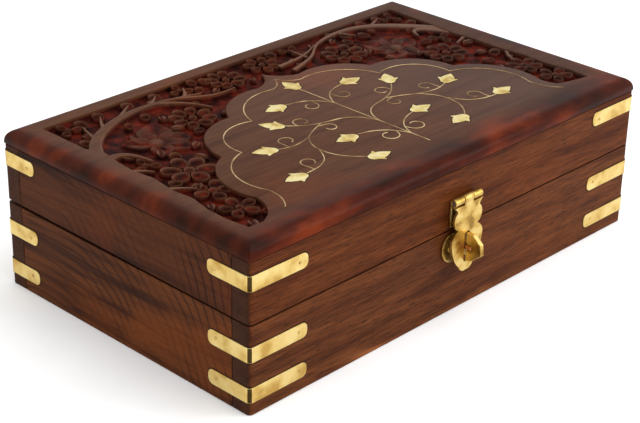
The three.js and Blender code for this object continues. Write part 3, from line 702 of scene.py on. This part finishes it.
LEAVES = [  # x, y, size, heading
    (-104, 45, 0.7, 95), (-76, 54, 0.7, 60), (-62, 57, 0.7, 20), (-66, 44, 0.7, 250), (-44, 53, 0.8, 20),
    (-30, 47, 0.7, 30), (28, 52, 0.7, 200), (44, 55, 0.8, 60), (56, 55, 0.7, 30), (60, 32, 0.8, 60),
    (94, 52, 0.7, 340), (84, 50, 0.7, 100), (-103, 16, 0.9, 120), (-94, 10, 0.8, 60), (-100, -19, 0.8, 230),
    (-110, -37, 0.7, 240), (-108, -58, 0.9, 250), (99, -2, 0.8, 330), (94, -20, 0.8, 250),
    (106, -58, 0.7, 270), (106, -20, 0.7, 60), (-78, 8, 0.8, 30), (-84, 3, 0.9, 300),
    (82, 17, 0.7, 200), (104, 10, 0.9, 350), (104, 30, 0.8, 60),
    (40, 27, 0.6, 200), (-44, 28, 0.7, 330), (-5, 49, 0.6, 250), (-73, 30, 0.9, 340), (62, 25, 0.8, 290),
]
LILIES = [  # x, y, then each petal's heading and size
    (-86, 23, [(54, 1.35), (96, 1.0), (142, 0.95), (-8, 1.15), (-50, 1.05), (-108, 0.85)]),
    (76, 29, [(118, 1.2), (62, 1.05), (14, 1.05), (222, 0.95), (-80, 0.9), (168, 0.85)]),
]

flower_parts, lily_parts = [], []
for x, y, radius, count, turn in FLOWERS:
    out, narrow = (0.65, 0.82) if count > CROWDED else (0.61, 1)
    size = radius / 11 * narrow
    places = []
    for i in range(count):
        heading = turn + 360 * i / count + random.uniform(-PETAL_TURN, PETAL_TURN)
        petal_size = size * random.uniform(*PETAL_SIZE)
        angle = math.radians(heading)
        middle = (x + radius * out * math.cos(angle), y + radius * out * math.sin(angle))
        places.append((*middle, petal_size, heading))
    flower_parts += copies_of(petal, places) + copies_of(boss, [(x, y, size * 1.05, 0)])
for x, y, petals in LILIES:
    lily_parts += copies_of(lily_petal, [(x, y, size, heading) for heading, size in petals])
    lily_parts += copies_of(egg_boss, [(x, y, 1, 60)])
flowers = join("carved_flowers", flower_parts)
buds = join("carved_buds", copies_of(petal, BUDS))
leaves = join("carved_leaves", copies_of(leaf, LEAVES))
lilies = join("carved_lilies", lily_parts)
for form in forms:
    bpy.data.objects.remove(form)
carving = [flowers, buds, leaves, lilies]
print("faces:", {piece.name: len(piece.data.polygons) for piece in carving})

# %% Draw the stems
STEM_DROP, STEM_STEP = 0.15, 0.02  # how far below the top, and how much more with each stem, in millimetres
THIN_END = 0.45  # a stem tapers to this share of its thin end's width
STEMS = [  # width at the start and end, then points, in millimetres
    (7.5, 1.8, [(-118, 22), (-110, 36), (-101, 44.5), (-90, 50.5), (-78, 54.5), (-62, 55.5), (-48, 53),
                (-36, 49.5)]),
    (5.4, 1.6, [(-118, 20), (-111, 24), (-105, 22), (-101.5, 15), (-101, 8)]),
    (2.6, 1.4, [(-60, 55), (-52, 50), (-46, 42), (-43, 34)]),
    (2.2, 1.2, [(-48, 53), (-38, 46), (-28, 43), (-20, 44)]),
    (2.2, 1.2, [(-104, 42), (-103, 48), (-100, 56)]),
    (2.2, 1.2, [(-94, 49), (-91, 55), (-87, 60)]),
    (2.2, 1.2, [(-80, 54.5), (-75, 58), (-70, 61)]),
    (2.0, 1.2, [(-62, 55.5), (-57, 58), (-54, 61)]),
    (2.0, 1.2, [(-44, 52), (-40, 56), (-38, 60)]),
    (2.6, 1.4, [(16, 41), (26, 44), (36, 48), (45, 55.5), (52, 59)]),
    (2.4, 1.4, [(14, 49), (26, 50), (36, 52), (45, 56.5)]),
    (2.4, 7.5, [(45, 56), (54, 60), (66, 62.5), (78, 62), (89, 57), (98, 49), (106, 39), (116, 26)]),
    (1.6, 5.4, [(95, 31), (97, 37), (102, 38), (108, 32), (115, 18)]),
    (2.2, 1.4, [(88, 57.5), (94, 60), (98, 62)]),
    (2.0, 1.2, [(68, 62), (69, 58), (72, 53)]),
    (2.4, 1.4, [(-114, 7), (-110, 5), (-107, 0)]),
    (2.4, 1.3, [(-114, -16), (-109, -19), (-105, -24)]),
    (2.4, 1.3, [(112, 15), (106, 13), (101, 11)]),
    (2.4, 1.3, [(112, -12), (107, -16), (104, -23)]),
    (2.0, 1.2, [(33, 49), (33, 55), (33, 60)]),
]


def stem_profile():
    """Half of a stem's section is all that shows: a level top, soft shoulders and steep flanks."""
    curve = bpy.data.curves.new("stem_profile", "CURVE")
    spline = curve.splines.new("POLY")
    section = [(-0.3, 0), (-0.42, -0.06), (-0.5, -0.22), (-0.62, -3.4), (0.62, -3.4), (0.5, -0.22),
               (0.42, -0.06), (0.3, 0)]
    spline.points.add(len(section) - 1)
    for point, (across, up) in zip(spline.points, section):
        point.co = (across * MM, up * MM, 0, 1)
    spline.use_cyclic_u = True
    profile = bpy.data.objects.new("stem_profile", curve)
    bpy.context.collection.objects.link(profile)
    return profile


profile = stem_profile()
stem_curve = bpy.data.curves.new("carved_stems", "CURVE")
stem_curve.dimensions = "3D"
stem_curve.twist_mode = "Z_UP"
stem_curve.bevel_mode = "OBJECT"
stem_curve.bevel_object = profile
stem_curve.use_fill_caps = True
stem_curve.resolution_u = 8
for order, (start, end, points) in enumerate(STEMS):
    spline = stem_curve.splines.new("NURBS")
    spline.points.add(len(points) - 1)
    spline.use_endpoint_u = True
    spline.order_u = 3
    thick, thin = max(start, end), THIN_END * min(start, end)
    for i, (point, (x, y)) in enumerate(zip(spline.points, points)):
        point.co = (x * MM, y * MM, TOP - (STEM_DROP + STEM_STEP * order) * MM, 1)
        share = i / (len(points) - 1)
        point.radius = thick + (thin - thick) * (share if start >= end else 1 - share)
stems = bpy.data.objects.new("carved_stems", stem_curve)
bpy.context.collection.objects.link(stems)
choose(stems)
bpy.ops.object.convert(target="MESH")
stems = bpy.context.object
for vertex in stems.data.vertices:
    vertex.co.z = max(vertex.co.z, FOOT)
bpy.data.objects.remove(profile)
outwards(stems)
smooth_by_angle(stems, 40)
print("stems:", len(stems.data.polygons), "faces")

# %% [markdown]
# ## The finish on the carved panel
#
# The same rosewood, stained. The flat top has been rubbed back until it is a greyish brown, dark red stain
# stays in the sunk ground and in every hollow, and it is left thick on the rounded front edge, where it shines
# almost like lacquer. The darkening of the sunk ground and the hollows is partly that stain and partly painted
# shade. So the colour goes by depth below the top and by distance from the edge.

# %% Finish the panel and the carving
PANEL_TONES = ("#54301F", "#623C29", "#6C442E", "#84472A")
# the second colour is the painted highlight on the upward-looking rims of the carving
GREY_HEART, RIM_HIGHLIGHT_COLOUR = "#3F2F2A", "#8F6B57"
FRONT_REACH, SIDE_REACH = 23 * MM, 12 * MM


def panel_material():
    material, tree = new_material("stained_carved_rosewood")
    colour, height = rosewood_pattern(tree, "X", (0.4, 0.75, 0.2), PANEL_TONES, 0.06, 0.55, contrast=0.4)
    place = texture_space(tree)
    x, y, z = add_node(tree, "SeparateXYZ", {"Vector": place}).outputs
    wide = math_node(tree, "ABSOLUTE", x)

    # the heartwood is greyer towards the right end
    colour = mix(tree, remap(tree, x, (10 * MM, 95 * MM), (0, 0.5)), colour, linear(GREY_HEART))

    # stain on the round-over: how near the edge, more at the front than at the sides
    blotch = remap(tree, noise(tree, place, 60.0, 3.0), (0.3, 0.7), (-1, 1))
    front_gap = math_node(tree, "ADD", y, HIGH.y)
    side_gap = math_node(tree, "SUBTRACT", HIGH.x, wide)
    near = []
    for gap, reach, share in ((front_gap, FRONT_REACH, 0.96), (side_gap, SIDE_REACH, 0.85)):
        shifted = math_node(tree, "MULTIPLY_ADD", blotch, 1.6 * MM, gap)
        near.append(remap(tree, shifted, (2.5 * MM, reach), (share, 0), interpolation_type="SMOOTHSTEP"))
    stain = math_node(tree, "MAXIMUM", *near)
    runs = noise(tree, add_node(tree, "Mapping", {"Vector": place, "Scale": (26, 60, 60)}), 1.0, 4.0)
    red = ramp(tree, runs, [(0.36, "#200A05"), (0.52, "#421508"), (0.7, "#702A0D")])
    colour = mix(tree, stain, colour, red)

    # the sunk ground and the hollows, anywhere inside the round-over: darker by depth, partly dark red stain
    # and partly painted shade
    inside = product(tree, math_node(tree, "LESS_THAN", wide, HIGH.x - 10 * MM),
                     math_node(tree, "LESS_THAN", math_node(tree, "ABSOLUTE", y), HIGH.y - 9 * MM))
    deep = product(tree, remap(tree, z, (TOP - 1.9 * MM, TOP - 0.7 * MM), (1, 0)), inside)
    dark = noise(tree, place, 160.0, 3.0)
    dark = ramp(tree, dark, [(0.35, "#1E0806"), (0.5, "#3B120B"), (0.68, "#5E1E12")])
    colour = mix(tree, deep, colour, dark)

    # painted highlight: rims and petals that look up and stand high, but are not the flat top itself, are made
    # pale
    upward = add_node(tree, "SeparateXYZ", {"Vector": texture_space(tree, "Normal")}).outputs["Z"]
    rim_highlight = product(tree, remap(tree, upward, (0.55, 0.95)),
                     remap(tree, z, (TOP - 0.12 * MM, TOP - 0.3 * MM)), inside,
                     remap(tree, z, (TOP - 1.15 * MM, TOP - 0.85 * MM)),
                     math_node(tree, "SUBTRACT", 1.0, deep), 0.24)
    colour = mix(tree, rim_highlight, colour, linear(RIM_HIGHLIGHT_COLOUR))

    gouges = add_node(tree, "TexVoronoi", {"Vector": place, "Scale": 420.0, "Smoothness": 0.6},
                      feature="SMOOTH_F1")
    height = math_node(tree, "MULTIPLY_ADD", product(tree, gouges, deep), 2.5, height)
    gloss = math_node(tree, "MULTIPLY_ADD", deep, 0.25, remap(tree, stain, (0, 1), (0.42, 0.3)))
    varnished(tree, colour, height, gloss, coat=remap(tree, stain, (0, 1), (0.02, 0.05)), bump=0.2)
    return material


carved_wood = panel_material()
for piece in (panel, *carving, stems):
    dress(piece, carved_wood)
    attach(piece, "lid")
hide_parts("carved_panel")
print("carved pieces:", 2 + len(carving))

# %% [markdown]
# ## Brass inlay
#
# Brass wire is hammered on edge into a fine knife cut, and the leaves are sawn from thin sheet and glued into
# shallow beds, then everything is filed level. Here a wire is a round-sectioned curve sunk until only its back
# shows. The vine has a straight stem, paired branches and a curl beside each branch; it is drawn once for the
# right half and mirrored. The leaf is modelled once and copied to each of its thirteen places. A larger, lower
# copy under each leaf, with a dark finish, is the line of glue that shows round it.

# %% The wire of the medallion and the vine
WIRE_RADIUS = 0.36 * MM
WIRE_HEIGHT = TOP - 0.22 * MM
WIRE_KNOTS = [(92, -62), (86, -46), (68.4, -11.9), (42, 9.4), (9, 29.5), (0, 37.9)]
WIRE_BULGES = [0.12, -0.24, -0.3, -0.21, 0.12]
BRANCHES = [
    [(0, -1), (2.5, 4), (6.5, 8.4), (12.5, 11.4), (18.5, 12.1)],
    [(0, -29), (1.5, -23.5), (5.5, -18.2), (11, -15.2), (21.7, -13.4), (31, -9), (36.5, -3)],
    [(21.7, -13.4), (29, -16), (36, -20.2), (43, -22.2), (50, -22.3), (56, -20)],
    [(36, -20.2), (40.5, -25), (42.5, -33), (41, -41.5), (36.5, -48), (32.5, -51.4)],
    [(42.5, -33), (45.5, -39), (50, -42.8), (56, -45.2), (63, -45.6)],
    [(0, -48), (2, -42.5), (6.5, -37.4), (12, -34), (18, -32.7)],
]
TENDRILS = [  # where it leaves its branch, the middle of its curl, the curl's radius
    ((6, 8), (10.6, 3.4), 3.4), ((31, -9), (26.6, -6.2), 3.5), ((50, -22.3), (45.8, -16.4), 3.6),
    ((58, -45.4), (54.6, -38.6), 3.6), ((25, -14.5), (21.4, -19), 3.2), ((3, -41.2), (8.6, -43), 4),
]


def curl(start, middle, radius, side):
    """A line that leaves its branch, runs round a middle point and closes on it a little."""
    start, middle = Vector(start), Vector(middle)
    lead = math.atan2(start.y - middle.y, start.x - middle.x)
    points = [tuple(start)]
    for i in range(11):
        angle = lead + side * math.radians(25 + 29 * i)
        reach = radius * (1.2 - 0.05 * i)
        points.append((middle.x + reach * math.cos(angle), middle.y + reach * math.sin(angle)))
    return points


def wire(name, lines, kind):
    curve = bpy.data.curves.new(name, "CURVE")
    curve.dimensions = "3D"
    curve.bevel_depth = WIRE_RADIUS
    curve.bevel_resolution = 2
    curve.resolution_u = 6
    curve.use_fill_caps = True
    for points in lines:
        spline = curve.splines.new(kind)
        spline.points.add(len(points) - 1)
        if kind == "NURBS":
            spline.order_u = 3
            spline.use_endpoint_u = True
        for point, (x, y) in zip(spline.points, points):
            point.co = (x * MM, y * MM, WIRE_HEIGHT, 1)
    piece = bpy.data.objects.new(name, curve)
    bpy.context.collection.objects.link(piece)
    choose(piece)
    bpy.ops.object.convert(target="MESH")
    piece = bpy.context.object
    smooth_by_angle(piece, 60)
    dress(piece, inlay_wire)
    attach(piece, "lid")
    return piece


ring = cusped(WIRE_KNOTS, WIRE_BULGES, -1) + [WIRE_KNOTS[-1]] + cusped(WIRE_KNOTS, WIRE_BULGES, 1)[::-1]
medallion = wire("medallion_wire_line", [ring], "POLY")
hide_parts("medallion_wire")
half = BRANCHES + [curl(*tendril, 1) for tendril in TENDRILS]
lines = [[(0, -59), (0, -20), (0, 21)]] + half + [[(-x, y) for x, y in line] for line in half]
vine = wire("vine_wire_lines", lines, "NURBS")
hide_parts("vine_wire")
print("wire faces:", len(medallion.data.polygons), len(vine.data.polygons))

# %% The leaves
LEAF_LENGTH, LEAF_WIDTH = 12.2, 9.6
LEAF_DEPTH, LEAF_PROUD = 0.8 * MM, 0.06 * MM
BED_SIZE, BED_DROP = 1.13, 0.055 * MM
HALF_LEAF = [(0, 0.02), (0.02, 0.12), (0.09, 0.23), (0.2, 0.29), (0.32, 0.37), (0.46, 0.52), (0.49, 0.5),
             (0.5, 0.33), (0.62, 0.3), (0.8, 0.18), (1, 0)]
LEAF_PLACES = {  # the middle of each leaf and the way its tip points
    "top_middle": (0, 26.5, 90), "upper_left": (-24, 12.2, 177), "upper_right": (24.3, 12.2, -4),
    "shoulder_left": (-39, -0.8, 124), "shoulder_right": (39.6, 1.6, 58), "outer_left": (-60, -18.2, 155),
    "outer_right": (60.2, -17.6, 26), "tip_left": (-69, -45.8, 176), "tip_right": (67.6, -44.6, 3),
    "foot_left": (-28, -54.2, -8), "foot_right": (28, -52.6, 190), "lower_left": (-24.6, -32.8, 174),
    "lower_right": (23.6, -32.4, -4),
}
shape = [(x, -y) for x, y in HALF_LEAF] + [(x, y) for x, y in HALF_LEAF[-2::-1]]
shape = [((x - 0.45) * LEAF_LENGTH, y * LEAF_WIDTH) for x, y in shape]
leaf_form = outline("leaf_master", shape, TOP - LEAF_DEPTH)
raise_face(LEAF_DEPTH + LEAF_PROUD)
bpy.ops.mesh.inset(thickness=0.35 * MM, depth=0.05 * MM)
bpy.ops.object.mode_set(mode="OBJECT")
outwards(leaf_form)
smooth_by_angle(leaf_form, 25)
bed_places = [(x, y, BED_SIZE, heading) for x, y, heading in LEAF_PLACES.values()]
beds = join("leaf_beds", copies_of(leaf_form, bed_places))
beds.data.transform(Matrix.Translation((0, 0, -BED_DROP)))
# a dark glue line round the inlaid leaves; the same dark finish is the painted shade in the gap round each
# strap
glue_line_and_gap_shade, tree = new_material("dark_glue_line_and_gap_shade")
specks = ramp(tree, noise(tree, texture_space(tree), 1500.0), [(0.35, "#1A0D08"), (0.65, "#3A2216")])
finish_material(tree, Base_Color=specks, Roughness=0.6, Specular_IOR_Level=0.1)
dress(beds, glue_line_and_gap_shade)
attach(beds, "lid")
for name, (x, y, heading) in LEAF_PLACES.items():
    brass_leaf = copies_of(leaf_form, [(x, y, 1, heading)])[0]
    brass_leaf.name = brass_leaf.data.name = "brass_leaf_" + name
    dress(brass_leaf, inlay_sheet)
    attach(brass_leaf, "lid")
    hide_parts("inlay_leaf_" + name)
bpy.data.objects.remove(leaf_form)
print("leaves:", len(LEAF_PLACES))

# %% [markdown]
# ## Strap pins
#
# A small brass pin holds each leg of a strap. Its head is filed nearly flush and punched, so it shows as a dot
# with a dark ring. A head is a short cylinder with an inset face pushed in.

# %% Strap pins
PIN_RADIUS = 0.85 * MM
PIN_INSET = 4.6 * MM  # from the end of the leg
PIN_SPREAD = 0.5 * MM
HEAD_DEPTH = 0.8 * MM


def pin_head(name, radius, proud):
    deselect()
    bpy.ops.mesh.primitive_cylinder_add(vertices=18, radius=radius, depth=HEAD_DEPTH,
                                        location=(0, 0, proud - HEAD_DEPTH / 2))
    piece = bpy.context.object
    piece.name = piece.data.name = name
    bpy.ops.object.transform_apply(location=True)
    for face in piece.data.polygons:
        face.select = face.normal.z > 0.9
    bpy.context.tool_settings.mesh_select_mode = (False, False, True)
    bpy.ops.object.mode_set(mode="EDIT")
    bpy.ops.mesh.inset(thickness=radius * 0.3, depth=0.0)
    bpy.ops.mesh.inset(thickness=radius * 0.12, depth=-0.12 * MM)
    bpy.ops.mesh.inset(thickness=radius * 0.25, depth=0.07 * MM)
    bpy.ops.object.mode_set(mode="OBJECT")
    apply_modifier(piece, "BEVEL", width=0.06 * MM, segments=2, angle_limit=math.radians(40))
    smooth_by_angle(piece, 40)
    return piece


def set_pins(master, places):
    """Copies that lie against faces: each place is a point and the way the head looks out."""
    turns = [Vector(out).to_track_quat("Z", "Y").to_matrix().to_4x4() for place, out in places]
    return [copy_of(master, Matrix.Translation(place) @ turn) for (place, out), turn in zip(places, turns)]


def straps_of(body):
    """Each strap node of a body with its box and its sides: 1 for right or back, -1 for left or front."""
    prefixes = {"base": ("base_strap_low_", "base_strap_high_"), "lid": ("lid_strap_",)}[body]
    for node in (n for n in frame["nodes"] if n.startswith(prefixes)):
        low, high = (Vector(corner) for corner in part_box(node))
        yield node, low, high, 1 if node.endswith("right") else -1, -1 if "front" in node else 1


master = pin_head("pin_master", PIN_RADIUS, 0.1 * MM)
dull_brass = metal("punched_brass_pins", "#DCC078", "#BB9850", "#6E5228", 0.35, cloud_size=2 * MM)
for body in ("base", "lid"):
    places = []
    for node, low, high, x_side, y_side in straps_of(body):
        z = (low.z + high.z) / 2 + random.uniform(-PIN_SPREAD, PIN_SPREAD)
        leg_x, face_x = (low.x, high.x) if x_side > 0 else (high.x, low.x)
        leg_y, face_y = (low.y, high.y) if y_side > 0 else (high.y, low.y)
        places.append(((leg_x + x_side * PIN_INSET, face_y, z), (0, y_side, 0)))
        places.append(((face_x, leg_y + y_side * PIN_INSET, z), (x_side, 0, 0)))
    pins = join(body + "_strap_pins", set_pins(master, places))
    dress(pins, dull_brass)
    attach(pins, body)
    print(pins.name, len(places))
bpy.data.objects.remove(master)

# %% [markdown]
# ## The dark line round each strap
#
# Each strap lies in a notch that is cut a little too large, and the gap round it shows as a thin dark line.
# The line is painted shade: a dark copy of the strap, slightly longer and wider and kept a hair outside the
# wood, so that only its edge shows round the brass.

# %% The dark line round each strap
# how wide the painted shade in the gap round a strap shows
GAP_SHADE_WIDTH = 0.4 * MM
WALL = Vector((HIGH.x, HIGH.y)) + Vector((3, 3)) * HAIR
for body in ("base", "lid"):
    beds = []
    for node, low, high, x_side, y_side in straps_of(body):
        bed = copy_of(frame["nodes"][node])
        bed.modifiers.clear()
        bed.data.materials.clear()
        grow = [1 + GAP_SHADE_WIDTH / (high.x - low.x), 1 + GAP_SHADE_WIDTH / (high.y - low.y),
                1 + 2 * GAP_SHADE_WIDTH / (high.z - low.z)]
        fixed = (high.x if x_side > 0 else low.x, high.y if y_side > 0 else low.y, (low.z + high.z) / 2)
        for vertex in bed.data.vertices:
            for axis in range(3):
                vertex.co[axis] = fixed[axis] + (vertex.co[axis] - fixed[axis]) * grow[axis]
            for axis in range(2):
                vertex.co[axis] = min(max(vertex.co[axis], -WALL[axis]), WALL[axis])
        apply_modifier(bed, "WELD", merge_threshold=HAIR)
        beds.append(bed)
    beds = join(body + "_strap_gap_shade", beds)
    dress(beds, glue_line_and_gap_shade)
    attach(beds, body)
    print(beds.name, len(beds.data.polygons), "faces")

# %% [markdown]
# ## Hinge screws
#
# The hinge leaves are let into the rims of the base and the lid, and each is held by two countersunk steel
# screws with a single slot. A screw is a larger pin head, and gets its slot from a boolean.

# %% Hinge screws
SCREW_RADIUS = 1.7 * MM
SCREW_INSET = 3.4 * MM  # from the edge of the leaf
SCREW_PLACES = (-7 * MM, 7 * MM)  # either side of its middle
LEAF_REACH = 5 * MM  # this far in a hinge leaf is still flat
screw = pin_head("screw_master", SCREW_RADIUS, 0.05 * MM)
bpy.ops.mesh.primitive_cube_add(size=1, location=(0, 0, 0.05 * MM), scale=(5 * MM, 0.5 * MM, 0.6 * MM))
slot_cutter = bpy.context.object
apply_modifier(screw, "BOOLEAN", operation="DIFFERENCE", object=slot_cutter, solver="EXACT")
bpy.data.objects.remove(slot_cutter)
for body, way in (("base", 1), ("lid", -1)):
    places = []
    for hinge in ("hinge_left", "hinge_right"):
        node = hinge + "_" + body + "_leaf"
        low, high = (Vector(corner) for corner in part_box(node))
        points = [vertex.co for vertex in frame["nodes"][node].data.vertices]
        plate = [point.z for point in points if point.y < low.y + LEAF_REACH]
        level = max(plate) if way > 0 else min(plate)
        middle = (low.x + high.x) / 2
        places += [((middle + across, low.y + SCREW_INSET, level), (0, 0, way)) for across in SCREW_PLACES]
    screws = join(body + "_hinge_screws", set_pins(screw, places))
    dress(screws, pin_steel)
    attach(screws, body)
    print(screws.name, len(places))
bpy.data.objects.remove(screw)

# %% [markdown]
# ## Velvet
#
# Inside, thin pads of felt covered with cotton velvet line the floor, the four walls and the lid. Each is
# glued at its back and folded over at its edges, so it is level round the rim and swells a little in the
# middle. A pad starts as a thin block with a grid on its faces, its back and rim are pinned, and Cloth blows
# up the rest with a little pressure. How far a point may move is capped, so a pad keeps to its own space. The
# pads are too thin for a voxel remesh, which would swallow them, so the grid does that job.

# %% Pads
PAD_CELL = 4 * MM
PAD_STEPS = 12
PAD_THICKNESS, PAD_RISE = 0.74, 0.25  # shares of the space: the glued block, and the most that it may swell
PADS = {  # node: body, the way its face looks, fill
    "base_floor_pad": ("base", (0, 0, 1), 0.4), "lid_pad": ("lid", (0, 0, -1), 0.4),
    "base_lining_front": ("base", (0, 1, 0), 0.3), "base_lining_back": ("base", (0, -1, 0), 0.3),
    "base_lining_left": ("base", (1, 0, 0), 0.3), "base_lining_right": ("base", (-1, 0, 0), 0.3),
}


def pad_blank(name, low, high, face):
    """A block three quarters as thick as its space, against the wall behind it, with a grid on its faces."""
    size = high - low
    thin = max(range(3), key=lambda axis: abs(face[axis]))
    back = low.copy()
    kept = size.copy()
    kept[thin] *= PAD_THICKNESS
    if face[thin] < 0:
        back[thin] = high[thin] - kept[thin]
    deselect()
    bpy.ops.mesh.primitive_cube_add(size=1, location=back + kept / 2, scale=kept)
    piece = bpy.context.object
    piece.name = piece.data.name = name
    bpy.ops.object.transform_apply(location=True, rotation=False, scale=True)
    for axis in (a for a in range(3) if a != thin):
        select_edges(piece, lambda a, b: abs((b - a)[axis]) > 0.5 * size[axis])
        bpy.ops.mesh.subdivide(number_cuts=int(size[axis] / PAD_CELL))
        bpy.ops.object.mode_set(mode="OBJECT")
    return piece, thin


def swell(piece, thin, face, cap):
    """Let cloth pressure lift the face of the pad, then keep the moved points without the modifier.

    No point may rise more than the cap. The tallest rise is given back."""
    start = [vertex.co.copy() for vertex in piece.data.vertices]
    low = Vector([min(point[axis] for point in start) for axis in range(3)])
    high = Vector([max(point[axis] for point in start) for axis in range(3)])
    front = high[thin] if face[thin] > 0 else low[thin]
    held = piece.vertex_groups.new(name="glued")
    rim = [i for i, point in enumerate(start) if abs(point[thin] - front) > 0.05 * MM
           or any(min(point[a] - low[a], high[a] - point[a]) < 0.05 * MM for a in range(3) if a != thin)]
    held.add(rim, 1.0, "REPLACE")
    cloth = piece.modifiers.new("cloth", "CLOTH")
    cloth.settings.vertex_group_mass = "glued"
    cloth.settings.use_pressure = True
    cloth.settings.uniform_pressure_force = 4
    cloth.settings.shrink_min = -0.012
    cloth.settings.effector_weights.gravity = 0
    cloth.point_cache.frame_end = PAD_STEPS
    for step in range(1, PAD_STEPS + 1):
        bpy.context.scene.frame_set(step)
    moved = piece.evaluated_get(bpy.context.evaluated_depsgraph_get()).data.vertices
    moved = [vertex.co.copy() for vertex in moved]
    piece.modifiers.remove(cloth)
    piece.vertex_groups.clear()
    reach = 0
    for vertex, old, new in zip(piece.data.vertices, start, moved):
        lift = min(max((new - old).dot(face), -0.3 * cap), cap)
        reach = max(reach, lift)
        vertex.co = old + face * lift
    bpy.context.scene.frame_set(1)
    return reach


pads = []
for name, (body, face, fill) in PADS.items():
    low, high = (Vector(corner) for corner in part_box(name))
    face = Vector(face)
    pad, thin = pad_blank("velvet_" + name, low, high, face)
    rise = PAD_RISE * (high - low)[thin]
    reach = swell(pad, thin, face, rise)
    apply_modifier(pad, "BEVEL", width=rise, segments=2, angle_limit=math.radians(50))
    apply_modifier(pad, "SUBSURF", levels=1, render_levels=1)
    smooth_by_angle(pad, 80)
    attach(pad, body)
    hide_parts(name)
    pads.append(pad)
    print(pad.name, len(pad.data.polygons), "faces, swells", round(reach / MM, 2), "mm")

# %% [markdown]
# ## The velvet's finish
#
# Velvet is a dense upright pile, a millimetre or two long. It takes light at its edges and drinks it face on,
# which is what sheen does, and wherever it has been stroked the pile leans and the colour turns lighter or
# darker in soft patches. The tufts are drawn 0.6 mm wide so that they can be seen.

# %% Velvet material
TUFT = 0.6 * MM
STROKE = 28 * MM
velvet, tree = new_material("maroon_cotton_velvet")
place = texture_space(tree)
strokes = noise(tree, place, 1 / STROKE, Distortion=0.3)
colour = ramp(tree, strokes, [(0.34, "#4C0B13"), (0.5, "#590F19"), (0.66, "#671420")])
tufts = noise(tree, place, 1 / TUFT)
shade = remap(tree, tufts, (0.3, 0.7), (0.7, 1.1))
colour = add_node(tree, "VectorMath", {0: colour, "Scale": shade}, operation="SCALE")
relief = add_node(tree, "Bump", {"Strength": 0.6, "Distance": 0.3 * MM, "Height": tufts})
finish_material(tree, Base_Color=colour, Roughness=0.92, Normal=relief, Specular_IOR_Level=0.1,
                Sheen_Weight=0.55, Sheen_Roughness=0.35, Sheen_Tint=linear("#C98A90"))
for pad in pads:
    dress(pad, velvet)
